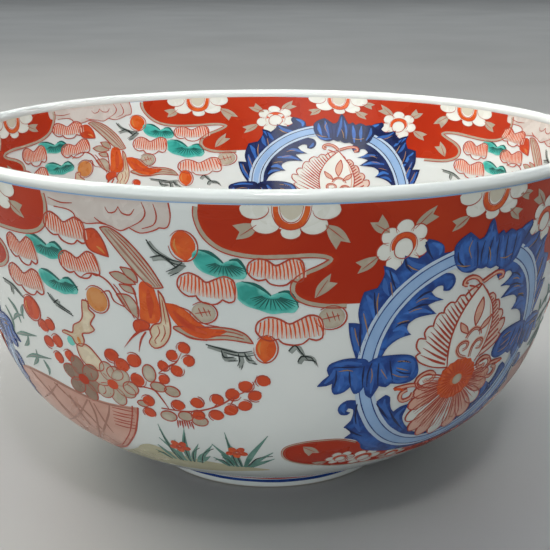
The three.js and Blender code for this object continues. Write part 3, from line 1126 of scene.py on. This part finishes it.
def side_scrolls(draw):
    """Curling tendrils on both sides of the disk."""
    first = [
        (31, 84), (28.6, 84.6), (26.5, 82.6), (25.5, 79.6), (26.2, 76.8), (27.8, 75.8), (28.9, 77.4),
        (28.6, 79.8), (27.5, 80.4), (27, 79),
    ]
    second = [(26.6, 83.2), (25.4, 81), (23.6, 80.6), (21.4, 81.2)]
    third = [(25.3, 84.6), (25, 87), (23.6, 88), (22.8, 86.4), (22.9, 83.8), (24, 82.6)]
    for flip in (as_drawn, mirrored):
        for path in (first, second, third):
            curve = smooth(flip(path))
            draw.stroke("salmon", 9, curve, 1.6, 0.5, 0.4, rounded=False)
            draw.stroke("red_line", 11, offset_path(curve, 0.75), 0.45, 0.6, 0.5, rounded=False)
            draw.stroke("red_line", 11, offset_path(curve, -0.75), 0.45, 0.6, 0.5, rounded=False)
        draw.stroke("orange", 12, flip([(21.2, 81), (22.2, 81.4), (23.2, 82.4)]), 1.3, 0.2, 0.4)


# ---------------------------------------------------------------- the garden between the medallions
def mauve_cloud(draw):
    """The thin mauve cloud under the lip, with scalloped red edge and curls."""
    draw.anchor = -26
    edge = [
        (-34.4, RIM_LINE), (-34.2, 5.5), (-32.4, 6.4), (-30, 6.8), (-28.9, 8.2), (-28.7, 10.4),
        (-28.7, 10.4), (-26.9, 11.6), (-24.6, 10.8), (-22.8, 11.6), (-22.8, 11.6), (-21.4, 13), (-20, 11.4),
        (-20, 11.4), (-18.4, 13.2), (-16.4, 12), (-15.4, 10.6), (-15.4, 10.6), (-14.2, 10.2), (-13.6, 6),
        (-13.7, RIM_LINE),
    ]
    draw.fill("mauve", 1, [edge[0], *edge, edge[-1]])
    draw.stroke("red_line", 5, edge[2:], 0.45)
    lines = (
        [(-23.3, 4), (-22.9, 6.2), (-21.8, 5.6), (-21.2, 3.4)],
        [(-21.2, 3.4), (-20.8, 5.8), (-19.6, 6.4), (-18.8, 4)],
        [(-17.6, 1), (-17.2, 5), (-18, 8.4), (-20, 11.4)],
        [(-15.9, 1.4), (-15.6, 6), (-16.2, 9.6), (-18, 11.4)], [(-25.4, 8.6), (-24.6, 10.2), (-23.6, 10.8)],
        [(-33.2, 3), (-31, 4.4), (-28.8, 4)],
    )
    draw.strokes("red_line", 5, lines, 0.5, 0.3, 0.4)


def pines_and_fruit(draw):
    """The clumps of pine needles and the round fruits between them."""
    for left, right, top, bottom, kind, tilt in (
        (-35.2, -27.5, 9.3, 21, "striped", 4), (-46, -38.8, 22, 34.8, "striped", 0),
        (-33.6, -26.2, 23.8, 35, "striped", -6), (-48, -39, 36, 48.2, "striped", 0),
        (-3.2, 4.9, 21.2, 32.2, "striped", 0), (-13.6, -5, 28.2, 40.2, "striped", 4),
        (-2.1, 8.1, 44.8, 57.2, "striped", -2), (-40.4, -32.3, 20.2, 29.2, "turquoise", 2),
        (-39.2, -31, 34.6, 43.6, "turquoise", 2), (-11.2, -3.1, 19.4, 29.8, "turquoise", 9),
        (-5.4, 4.4, 31.8, 43.4, "turquoise", 9),
    ):
        pine_fan(draw, left, right, top, bottom, kind, tilt)
    fruit(draw, -9.9, 44, 4.5, 4, "tan")
    fruit(draw, 9.3, 46, 5, 4.5, "tan")
    draw.anchor = -26
    pod = Spot(-26, 18.8)
    outline = [
        (-4.2, -4.4), (-4.2, -4.4), (0.6, -5.2), (3.7, -0.4), (4.8, 5.4), (4.8, 5.4), (-2.6, 3.6),
        (-4.6, -0.6),
    ]
    draw.outlined("orange_red", "red_line", 3, pod.at(outline), 0.5)
    draw.stroke("amber", 6, pod.at([(0.4, 1.6), (2.2, 2.8), (3.4, 4.2)]), 1.0, 0.3, 0.3)
    fruit(draw, -12.2, 17.2, 4.7, 5.5, "orange", -6, pointed=True)
    fruit(draw, -43.8, 54.8, 5, 5.2, "orange_red")
    fruit(draw, -0.6, 58.8, 3.9, 5.4, "orange", 4, pointed=True)
    fruit(draw, -27.6, 43.2, 4.7, 5.2, "amber", -8)


def bird(draw):
    """A long-tailed bird flying down to the right, with a plumed head and a long wing."""
    draw.anchor = -20
    tail = [
        (-24.8, 12.6), (-24.8, 12.6), (-23.4, 12), (-21.4, 14.8), (-19.4, 20), (-17.4, 27), (-15.8, 34.6),
        (-15.8, 34.6), (-17.6, 35), (-19.4, 31), (-21.6, 24), (-23.6, 17),
    ]
    draw.outlined("tan", "red_line", 3, tail, 0.5)
    for shift, width in ((0.35, 0.9), (0.62, 0.45), (0.82, 0.45)):
        left = np.array([(-24.6, 13), (-22.8, 20), (-20.2, 28), (-17.6, 34.6)])
        right = np.array([(-22.6, 12.8), (-20, 18.6), (-17.8, 26), (-16, 34)])
        colour = "brown" if width > 0.6 else "red_line"
        draw.stroke(colour, 6, left * (1 - shift) + right * shift, width, 0.4, 0.5)
    for leaf in (
        [(-24.4, 30.8), (-24.4, 30.8), (-22.8, 29.9), (-20.8, 32.4), (-20.2, 34.4), (-20.2, 34.4),
        (-22, 34.6), (-23.6, 33)], [(-22.4, 27.8), (-22.4, 27.8), (-20.6, 28.4), (-19.8, 31.6),
        (-19.9, 33.6), (-19.9, 33.6), (-21.4, 31.8)],
        [(-23, 35), (-23, 35), (-21, 35.4), (-20.4, 38.6), (-20.4, 38.6), (-22.2, 37.6)],
        [(-23.8, 39.4), (-23.8, 39.4), (-21.6, 39.4), (-20.3, 44), (-20.6, 49), (-20.6, 49), (-22.4, 45)],
    ):
        draw.outlined("tan", "red_line", 3, leaf, 0.42)
    lines = ([(-24, 35.4), (-23, 39), (-21.2, 49)], [(-21, 34.8), (-20.4, 41), (-20.6, 47)])
    draw.strokes("red_line", 6, lines, 0.5, 0.4, 0.4)
    body = [
        (-19.6, 34), (-18.8, 32.8), (-17.6, 34), (-17, 39), (-16.7, 45), (-17.2, 49.4), (-19, 50.4),
        (-20.2, 49), (-20, 44), (-19.9, 39),
    ]
    draw.fill("orange", 4, body)
    draw.stroke("orange_red", 7, [(-18.3, 36), (-18.2, 42), (-18.4, 48)], 2.6, 0.3, 0.3)
    neck = [
        (-16.7, 36), (-16.7, 36), (-16, 38.6), (-15.6, 44), (-15.3, 50), (-15.6, 55), (-16.8, 59.4),
        (-18.4, 61), (-19.2, 58.8), (-18.6, 56), (-18.6, 56), (-18.8, 53.4), (-18, 50.6), (-16.8, 49.4),
        (-16.6, 44),
    ]
    draw.outlined("pale_tan", "red_line", 3, neck, 0.5)
    lines = (
        [(-16.2, 39.6), (-16.1, 45), (-16, 50)], [(-17.4, 51), (-17.2, 54), (-18.2, 57.4), (-18, 59)],
        [(-16.4, 50.4), (-16.3, 54), (-17.2, 58)],
    )
    draw.strokes("red_line", 6, lines, 0.45, 0.4, 0.4)
    head = [(-21.6, 52), (-21.2, 50), (-20, 49.2), (-18.8, 50.4), (-19, 52.6), (-20, 54), (-21.2, 54.8)]
    draw.outlined("orange_red", "red_line", 4, head, 0.4)
    lines = (
        [(-20.2, 53.6), (-21.8, 56.6), (-23.9, 62.6)], [(-19.6, 54.4), (-20.6, 58), (-21.3, 63.6)],
        [(-18.6, 53), (-20.2, 53.8), (-22.4, 58.4)],
    )
    draw.strokes("red_line", 7, lines, 0.75, 0.8, 0.1)
    wing = [
        (-15.7, 41), (-15.7, 41), (-14, 41.4), (-12.4, 44), (-10.8, 48), (-9.2, 50.4), (-7, 50.6),
        (-6.4, 51.4), (-8.2, 53.8), (-10.2, 55), (-12.2, 53.6), (-14, 50.4), (-15.2, 46),
    ]
    draw.fill("orange", 4, wing)
    draw.stroke("orange_red", 7, [(-14.6, 44), (-12.6, 49.4), (-9.6, 52.6)], 2.8, 0.3, 0.3)
    feathers = [
        (-14.8, 50.8), (-13, 54), (-10.4, 55.4), (-6.4, 55), (-2.5, 56.4), (-2.5, 56.4), (-3.6, 52.6),
        (-5.6, 50.4), (-8, 49.8), (-9.6, 50),
    ]
    draw.outlined("tan", "red_line", 2, feathers, 0.5)
    lines = (
        [(-9, 53.8), (-6.4, 53.2), (-3.9, 54.4)], [(-8.2, 51.8), (-6, 51.6), (-4, 53)],
        [(-14.8, 51.4), (-12.4, 55), (-9.6, 55.8)],
        [(-14.6, 41.6), (-12.2, 43.4), (-10.2, 48.2), (-7.6, 49.6)],
    )
    draw.strokes("red_line", 6, lines, 0.45, 0.4, 0.4)
    plume = [(-30, 35), (-28.6, 32.6), (-26.6, 32.4), (-24.8, 35), (-23.4, 40.4), (-22.4, 44)]
    draw.stroke("red_line", 6, plume, 0.6, 0.4, 0.4)
    draw.stroke("red_line", 6, [(-26.6, 40), (-25, 38.6), (-24.4, 42.6), (-22.6, 44.6)], 0.5, 0.4, 0.4)


def rock_branch(draw):
    """A knotted tan branch with a pale round leaf."""
    draw.anchor = -33
    branch = [
        (-30.6, 44.6), (-30.6, 44.6), (-29.4, 44.8), (-29.6, 48), (-28.6, 50.2), (-29.4, 53), (-29.8, 55),
        (-29.2, 57), (-30.4, 59), (-32, 60), (-31.9, 63), (-32.6, 66), (-34, 65.4), (-34.6, 62.6),
        (-36.6, 61.6), (-36, 60.4), (-34.2, 60.6), (-33.6, 57), (-32, 54.6), (-31.2, 52), (-30.9, 48),
    ]
    draw.outlined("pale_tan", "red_line", 3, branch, 0.5)
    leaf = [(-33.8, 66), (-31.6, 65), (-30, 68.4), (-28.8, 73), (-29.6, 76), (-32, 75.6), (-33.6, 72)]
    draw.outlined("pale_tan", "red_line", 2, leaf, 0.45)
    draw.fill("green", 5, oval(Spot(-35, 64.8), 2.1, 2.2, 9))
    draw.stroke("amber", 6, [(-33.2, 62), (-32.9, 65)], 1.6, 0.4, 0.4)


def twigs(draw):
    """Dry twigs between the pines, and the bamboo leaves at the far left."""
    twig(
        draw, -14, [(-17.3, 16.4), (-16.2, 20.4), (-14, 23.6), (-12.2, 24.4)],
        [(-17, 23.4), (-15, 22.4), (-13.6, 25.4)], [(-12.2, 24.6), (-13.4, 27), (-14.8, 28.8)],
    )
    twig(
        draw, -6, [(-9.6, 58.2), (-7.4, 59.6), (-4.6, 61.2), (-2.4, 60.4)],
        [(-7.2, 60.4), (-6.8, 63.4), (-5.2, 63.2)], [(-4.6, 61.6), (-4.4, 64.6), (-4.8, 67.2)],
        [(-3.6, 61.4), (-3, 64.2), (-2.2, 64.6)],
    )
    twig(
        draw, 5, [(3.2, 60.4), (4.2, 58), (5.2, 61.4), (5.8, 63)],
        [(4.7, 65.4), (5.2, 63), (6.8, 63.6), (7.4, 66.4)],
    )
    twig(draw, -36, [(-37.8, 45.6), (-36.4, 49), (-33.4, 52)], [(-36.8, 49.6), (-35.6, 47.6)])
    twig(draw, -47, [(-51, 46.4), (-48, 47.4), (-45.6, 50.6)], [(-48.6, 48), (-48.8, 51.6)])
    draw.anchor = -48
    leaves = (
        [(-51.6, 55), (-49.6, 59), (-49, 65)], [(-52, 65.6), (-50, 62), (-47.6, 60.6)],
        [(-53, 73), (-50, 70.6), (-44.6, 68.4)], [(-50.6, 77), (-48.6, 74), (-47.6, 69)],
        [(-52, 84), (-48, 80), (-42, 77.6)], [(-49.6, 86), (-47, 81), (-46.4, 76)],
        [(-46.6, 55), (-47.6, 59.6), (-47.4, 62)], [(-44.8, 80), (-44, 84), (-44.6, 87.4)],
        [(-54, 60), (-52.6, 66), (-53.4, 72)],
    )
    for path in leaves:
        draw.stroke("leaf_green", 3, path, 2.0, 0.15, 0.1)
        draw.stroke("grey", 5, path, 0.5, 0.3, 0.2)


def berries(draw):
    """Loose berries, and the spray of berries on its red stems."""
    for angle, down in ((-41.4, 61.6), (-39.6, 60), (-41, 68.6), (-38.6, 67), (-39.4, 75.2), (-36.4, 72.6)):
        berry(draw, angle, down, 3.1, -40)
    for angle, down in ((-26.7, 67.4), (-25, 71.2), (-22.6, 68), (-22.5, 77)):
        berry(draw, angle, down, 3.4, -24)
    for angle, down in (
        (-15.6, 63.4), (-13.5, 59.8), (-12.9, 65.4), (-17.4, 68.6), (-15.1, 70.2), (-17.6, 75),
    ):
        berry(draw, angle, down, 2.7, -15)
    branch = (
        (-21.2, 86.8), (-21.5, 93), (-15.7, 87), (-12.3, 84.8), (-12.3, 91.2), (-9.1, 90.5), (-8.7, 82.6),
        (-6.6, 87.4), (-6.1, 79.6), (-4.2, 85), (-3.9, 75.6), (-2.4, 80), (-1, 73),
    )
    for angle, down in branch:
        berry(draw, angle, down, 3.0, -10)
    draw.anchor = -10
    lines = (
        [(-19, 89.6), (-13.6, 89.6), (-9, 86), (-5.4, 80), (-3.2, 76.6), (-2, 70.6)],
        [(-9.4, 86.6), (-8.8, 84.6)], [(-22.4, 80), (-19.8, 80.8), (-18.6, 84.6), (-17.6, 89.4)],
        [(-5.6, 80.6), (-6.2, 83), (-6.6, 85)], [(-18.4, 72.4), (-16.4, 68.6), (-15, 66.4), (-14, 62)],
    )
    draw.strokes("red_line", 5, lines, 0.6, 0.6, 0.3)


def peonies(draw):
    """Clustered tan flowers on the fence, their loose petals and the small ones by the berries."""
    petal_flower(draw, -34.3, 82.5, 6.6, 6, "brown_tan", "iron_red", -31)
    petal_flower(draw, -27.8, 81.5, 6.3, 6, "tan", "orange_red", -31)
    draw.anchor = -21
    for angle, down, wide, tall, turn in (
        (-20.1, 73, 2.8, 4.0, 0), (-18.8, 79, 3.4, 2.2, 10), (-16.4, 80.4, 3.2, 2.4, 18),
        (-24.2, 81.8, 3.4, 3.2, 0), (-26.8, 75.8, 3.8, 3.2, 0), (-22.4, 88.6, 2.6, 1.6, 0),
    ):
        draw.outlined("tan", "red_line", 3, oval(Spot(angle, down, turn), wide, tall, 10), 0.42)
    for angle, down, wide, tall in (
        (-17.9, 93.4, 3.4, 2.7), (-14.7, 92.4, 3.0, 2.5), (-12.2, 94.4, 3.2, 2.6),
    ):
        draw.anchor = -15
        draw.outlined("tan", "red_line", 3, oval(Spot(angle, down), wide, tall, 10), 0.42)
    for k in range(7):
        foot = (-16.6 + 0.5 * k, 99.4 - (k % 2) * 1.2)
        draw.stroke("red_line", 5, [(-16.4 + 0.42 * k, 95.2), foot], 0.6, 0.9, 0.2)


def fence(draw):
    """The low brushwood fence at the foot of the garden, with its posts, rails and short hatching."""
    draw.anchor = -56
    panel = [
        (-57, 92), (-57, 92), (-52, 88.8), (-44, 88.4), (-36, 91.4), (-30, 92.4), (-23.8, 91.6),
        (-23.8, 91.6), (-24.6, 98), (-26.6, 108), (-29.4, 116.4), (-33, 125), (-38, 133.6), (-44, 138),
        (-44, 138), (-52, 138), (-60, 134), (-60, 134), (-60, 112),
    ]
    draw.fill("rose_wash", 1, panel)
    edge = [(-23.8, 91.6), (-24.6, 98), (-26.6, 108), (-29.4, 116.4), (-33, 125), (-38, 133)]
    draw.stroke("red_line", 5, edge, 0.7)
    draw.stroke("red_line", 5, [(a - 1.1, d - 0.4) for a, d in edge], 0.5)
    lines = (
        [(-56, 91.4), (-48, 89), (-40, 90.6), (-32, 93.2), (-24.4, 92.6)],
        [(-30, 93), (-31.4, 100), (-35.2, 112), (-40, 124)],
        [(-35, 94), (-35.2, 104), (-38.6, 118), (-43, 129)],
        [(-44, 91), (-40.6, 97), (-37.4, 104), (-36, 113)],
        [(-35.4, 94), (-39, 103), (-44, 112), (-50, 120)],
        [(-52, 91), (-47.6, 100), (-44.6, 110), (-43.4, 122)], [(-43, 91), (-48, 100), (-54, 108)],
    )
    draw.strokes("brown", 4, lines, 1.0, 0.6, 0.4)
    for k in range(6):
        down = 94.4 + 2.1 * k
        bend = (-27.4 - 0.2 * k, down + 0.5 * (k % 2))
        draw.stroke("red_line", 4, [(-29.6 - 0.22 * k, down), bend, (-25 - 0.16 * k, down)], 0.5, 0.3, 0.3)
    for x0, x1 in ((-34, -31.6), (-40.4, -38), (-47, -44)):
        draw.stroke("brown", 4, [(x0, 95), (x0 + 0.6, 105), (x1 - 1.4, 113)], 0.8, 0.5, 0.2)


def meadow(draw):
    """The yellow-green ground and the grass and small orange flowers on it."""
    draw.anchor = -16
    ground = [
        (-36, 133), (-30, 124), (-27, 117.6), (-24, 115.4), (-20, 119.6), (-14, 124), (-8, 127),
        (-3, 129.6), (0, 132.6), (-6, 135.4), (-16, 140), (-30, 141), (-40, 138),
    ]
    draw.fill("olive", 1, ground)
    left = (
        (-19.6, -20.6, 99, 1.5), (-18.4, -18.2, 108, 1.8), (-17.2, -15.6, 99.6, 2.6),
        (-18, -21.4, 108, 1.7), (-16.4, -13.6, 109, 2.0), (-15.4, -11.4, 112.4, 2.4),
        (-14.6, -10.8, 108.6, 1.7), (-20.6, -22.6, 114, 2.0), (-19, -19.6, 115, 2.2),
        (-14.8, -12, 118.6, 2.6), (-21.6, -24, 119, 1.6),
    )
    right = (
        (-7, -8.1, 100, 1.8), (-6.8, -10.9, 108, 2.2), (-6, -7.2, 109, 2.0), (-5.4, -0.4, 101.4, 2.4),
        (-4.6, 0.6, 113, 2.2), (-3.8, 0.9, 118.6, 2.2), (-7.8, -9.6, 116, 2.2), (-5.2, -3.4, 114, 2.0),
        (-8.6, -11.4, 119, 2.2), (-4.2, -1.6, 121, 2.2),
    )
    blades(draw, 126.6, left)
    blades(draw, 128.4, right)
    for root, tip_angle, tip_down, _ in left[::2] + right[::2]:
        bend = (root * 0.6 + tip_angle * 0.4, 64 + tip_down * 0.48)
        draw.stroke("ink", 5, [(root, 127), bend, (tip_angle, tip_down + 3)], 0.4, 0.7, 0.2)
    for angle, down in ((-17.7, 112.6), (-6.4, 113.4)):
        for k in range(5):
            turn = math.radians(72 * k + 20)
            place = Spot(angle, down).at([(2.6 * math.cos(turn), 2.4 * math.sin(turn))])[0]
            petal = oval(Spot(*place, turn=math.degrees(turn)), 2.1, 1.5, 9)
            draw.fill("orange" if k % 2 else "orange_red", 6, petal, step=1.2)
        draw.stroke("red_line", 8, oval(Spot(angle, down), 1.3, 1.2, 8), 0.5, closed=True)


# ---------------------------------------------------------------- lines turned round the bowl
def ring_line(name, face, low, high, lift, material):
    """A painted line right round one face, between two places down it, with a slightly uneven lower edge."""
    stray = 0.1
    turns = np.linspace(0, 360, STEPS_ROUND, endpoint=False)
    edge = high + stray * (np.sin(np.radians(turns * 7)) + 0.6 * np.sin(np.radians(turns * 17 + 40)))
    straight = np.full(STEPS_ROUND, low)
    corners = ((straight, -SUNK), (straight, lift), (edge, lift), (edge, -SUNK))
    rows = [face.points(turns, down, height)[0] for down, height in corners]
    faces = []
    for r in range(4):
        for i in range(STEPS_ROUND):
            j = (i + 1) % STEPS_ROUND
            a, b = r * STEPS_ROUND, (r + 1) % 4 * STEPS_ROUND
            quad = (a + i, a + j, b + j, b + i)
            faces.append(quad if face.side < 0 else quad[::-1])
    mesh = bpy.data.meshes.new(name)
    mesh.from_pydata(np.concatenate(rows).tolist(), [], faces)
    mesh.shade_smooth()
    mesh.set_sharp_from_angle(angle=math.radians(40))
    piece = bpy.data.objects.new(name, mesh)
    bpy.context.collection.objects.link(piece)
    assign(piece, material)
    return piece


# ---------------------------------------------------------------- the studio
def softbox(name, place, aim, size, power, colour, spread):
    """A rectangular light at one place, aimed at another."""
    light = bpy.data.lights.new(name, "AREA")
    light.shape = "RECTANGLE"
    light.size, light.size_y = size
    light.energy = power
    light.color = colour
    light.spread = math.radians(spread)
    box = bpy.data.objects.new(name, light)
    box.location = place
    box.rotation_euler = (Vector(aim) - Vector(place)).to_track_quat("-Z", "Y").to_euler()
    bpy.context.collection.objects.link(box)


def build_studio():
    """A plain pale floor, an even sky and five soft lights."""
    mesh = bpy.data.meshes.new("floor")
    reach = 9  # metres
    corners = [(-reach, -reach, 0), (reach, -reach, 0), (reach, reach, 0), (-reach, reach, 0)]
    mesh.from_pydata(corners, [], [(0, 1, 2, 3)])
    floor = bpy.data.objects.new("floor", mesh)
    bpy.context.collection.objects.link(floor)
    material, shader, tree = new_material("floor_paint", (0.36, 0.36, 0.35), 0.55)
    place = tree.nodes.new("ShaderNodeTexCoord").outputs["Object"]
    mottle = link_noise(tree, place, 3, 2)
    paint = link_ramp(tree, mottle, [(0.3, (0.34, 0.345, 0.34)), (0.7, (0.385, 0.39, 0.385))])
    tree.links.new(paint, shader.inputs["Base Color"])
    mesh.materials.append(material)

    world = bpy.data.worlds.new("studio")
    world.use_nodes = True
    world.node_tree.nodes["Background"].inputs["Color"].default_value = (0.8, 0.84, 0.88, 1)
    world.node_tree.nodes["Background"].inputs["Strength"].default_value = 0.25
    bpy.context.scene.world = world
    bpy.context.scene.view_settings.view_transform = "Standard"

    softbox("window", (-1.3, 0.7, 1.4), (0, 0, 0.1), (1.6, 1.2), 34, (1, 0.955, 0.86), 180)
    softbox("ceiling", (0.1, -0.2, 1.9), (0, 0, 0.1), (1.8, 1.4), 16, (0.95, 0.98, 1), 180)
    softbox("reader", (0.1, -0.9, 1.6), (0, 0.15, 0.15), (0.4, 0.3), 0.42, (1, 0.99, 0.97), 24)
    softbox("fill", (-0.8, -1.8, 0.6), (0, 0, 0.08), (1.6, 0.8), 11.5, (0.95, 0.98, 1), 180)
    softbox("backdrop", (0, 3.8, 2.2), (0, 3.8, 0), (6, 3), 55, (0.96, 0.99, 1), 180)


def build_camera():
    """The camera in front of the bowl, looking a little down."""
    camera = bpy.data.cameras.new("camera")
    camera.lens = LENS
    camera.sensor_width = 36
    eye = bpy.data.objects.new("camera", camera)
    eye.location = (0, -CAMERA_BACK * MM, CAMERA_UP * MM)
    eye.rotation_euler = (math.radians(90 - CAMERA_PITCH), 0, math.radians(CAMERA_YAW))
    bpy.context.collection.objects.link(eye)
    bpy.context.scene.camera = eye


# ---------------------------------------------------------------- the paints, and everything painted
# Each paint: its edge, thin and full tones, its roughness and its slot name
PAINTS = {
    "iron_red": ((0.46, 0.038, 0.009), (0.47, 0.040, 0.009), (0.41, 0.026, 0.006), 0.26, "iron_red_enamel"),
    "red_line": ((0.44, 0.052, 0.024), (0.48, 0.07, 0.035), (0.36, 0.035, 0.016), 0.3, "iron_red_enamel"),
    "orange_red": ((0.60, 0.07, 0.018), (0.64, 0.09, 0.022), (0.50, 0.045, 0.010), 0.25, "iron_red_enamel"),
    "orange": ((0.66, 0.085, 0.014), (0.72, 0.14, 0.02), (0.60, 0.075, 0.010), 0.25, "orange_enamel"),
    "amber": ((0.62, 0.24, 0.06), (0.66, 0.32, 0.12), (0.58, 0.20, 0.05), 0.28, "orange_enamel"),
    "green": ((0.16, 0.58, 0.50), (0.06, 0.48, 0.41), (0.025, 0.30, 0.25), 0.14, "green_enamel"),
    "leaf_green": ((0.12, 0.26, 0.21), (0.18, 0.36, 0.30), (0.05, 0.18, 0.14), 0.2, "green_enamel"),
    "olive": ((0.50, 0.47, 0.31), (0.54, 0.51, 0.35), (0.46, 0.44, 0.28), 0.22, "green_enamel"),
    "salmon": ((0.70, 0.40, 0.29), (0.76, 0.48, 0.38), (0.70, 0.38, 0.27), 0.28, "pink_enamel"),
    "mauve": ((0.58, 0.50, 0.45), (0.66, 0.61, 0.56), (0.60, 0.54, 0.49), 0.25, "pink_enamel"),
    "rose_wash": ((0.55, 0.27, 0.20), (0.66, 0.39, 0.31), (0.54, 0.28, 0.21), 0.28, "pink_enamel"),
    "white": ((0.72, 0.73, 0.65), (0.76, 0.78, 0.71), (0.80, 0.81, 0.75), 0.14, "white_reserve"),
    "cream": ((0.62, 0.58, 0.46), (0.68, 0.65, 0.53), (0.62, 0.59, 0.48), 0.2, "white_reserve"),
    "peach": ((0.72, 0.55, 0.46), (0.76, 0.62, 0.53), (0.73, 0.53, 0.43), 0.28, "pink_enamel"),
    "deep_green": ((0.012, 0.12, 0.10), (0.02, 0.18, 0.15), (0.008, 0.07, 0.06), 0.2, "green_enamel"),
    "tan": ((0.42, 0.35, 0.26), (0.56, 0.51, 0.41), (0.47, 0.42, 0.32), 0.3, "gilding"),
    "pale_tan": ((0.60, 0.48, 0.32), (0.74, 0.66, 0.48), (0.68, 0.58, 0.42), 0.26, "gilding"),
    "brown_tan": ((0.24, 0.15, 0.10), (0.34, 0.24, 0.17), (0.26, 0.17, 0.12), 0.3, "gilding"),
    "gold": ((0.40, 0.23, 0.09), (0.46, 0.28, 0.12), (0.36, 0.20, 0.08), 0.34, "gilding"),
    "cobalt": ((0.012, 0.045, 0.21), (0.036, 0.155, 0.52), (0.012, 0.048, 0.23), 0.1, "cobalt_underglaze"),
    "blue_wash": ((0.04, 0.13, 0.42), (0.055, 0.20, 0.60), (0.035, 0.12, 0.43), 0.1, "cobalt_underglaze"),
    "navy": ((0.010, 0.018, 0.08), (0.022, 0.04, 0.15), (0.008, 0.012, 0.05), 0.1, "cobalt_underglaze"),
    "pale_blue": ((0.28, 0.45, 0.70), (0.33, 0.50, 0.75), (0.27, 0.43, 0.69), 0.1, "pale_blue_underglaze"),
    "ice": ((0.50, 0.62, 0.76), (0.54, 0.65, 0.76), (0.48, 0.60, 0.75), 0.1, "pale_blue_underglaze"),
    "grey": ((0.24, 0.27, 0.25), (0.36, 0.40, 0.37), (0.22, 0.25, 0.23), 0.2, "dark_outline"),
    "brown": ((0.38, 0.17, 0.12), (0.42, 0.20, 0.14), (0.34, 0.14, 0.10), 0.3, "dark_outline"),
    "ink": ((0.02, 0.03, 0.028), (0.05, 0.06, 0.055), (0.015, 0.02, 0.02), 0.22, "dark_outline"),
}
# How fine the brush marks are, where that isn't the usual
STREAKS = {
    "cobalt": 150, "blue_wash": 170, "green": 110, "iron_red": 24, "orange": 140, "olive": 40,
    "rose_wash": 40,
}


def draw_everything():
    """All the motifs, one piece for each paint, and the lines round the rim, the foot and the well."""
    draw = Drawing()
    motifs = (
        red_cloud, foot_cloud, wreath, medallion_flower, mauve_cloud, pines_and_fruit, bird, rock_branch,
        twigs, berries, peonies, fence, meadow,
    )
    for motif in motifs:
        motif(draw)
    materials = {}
    for name, (edge, thin, full, roughness, slot) in PAINTS.items():
        metal = 0.35 if name == "gold" else 0.0
        gloss = 0.22 if name == "iron_red" else 0.4
        streak = STREAKS.get(name, 90)
        material = enamel_material("paint_" + name, edge, thin, full, roughness, streak, metal, gloss)
        materials[name] = material
        faces = (outside_face,) if name == "cobalt" else (outside_face, inside_face)
        assign(draw.piece("painted_" + name, name, faces), material)
    leaves_inside = draw.piece("painted_cobalt_inside", "cobalt", (inside_face,))
    assign(leaves_inside, materials["navy"])
    foot_face = Face(np.array(foot_side()[::-1]), 1, (), (), 1, 1)
    well = inside_face.down[-1] - WELL_FLAT_RADIUS
    lines = (
        ("rim_line_outside", outside_face, 0.1, 0.6, 0.1, "pale_blue"),
        ("rim_line_inside", inside_face, 0.1, 0.7, 0.1, "pale_blue"),
        ("red_line_on_foot", foot_face, 3.0, 4.1, 0.12, "iron_red"),
        ("blue_line_on_foot", foot_face, 4.6, 6.1, 0.12, "cobalt"),
        ("outer_line_in_well", inside_face, well - 4.6, well - 3.4, 0.1, "blue_wash"),
        ("inner_line_in_well", inside_face, well - 1.6, well - 1.1, 0.1, "blue_wash"),
    )
    for name, face, low, high, lift, paint in lines:
        ring_line(name, face, low, high, lift, materials[paint])


build_camera()
build_studio()
build_porcelain()
draw_everything()
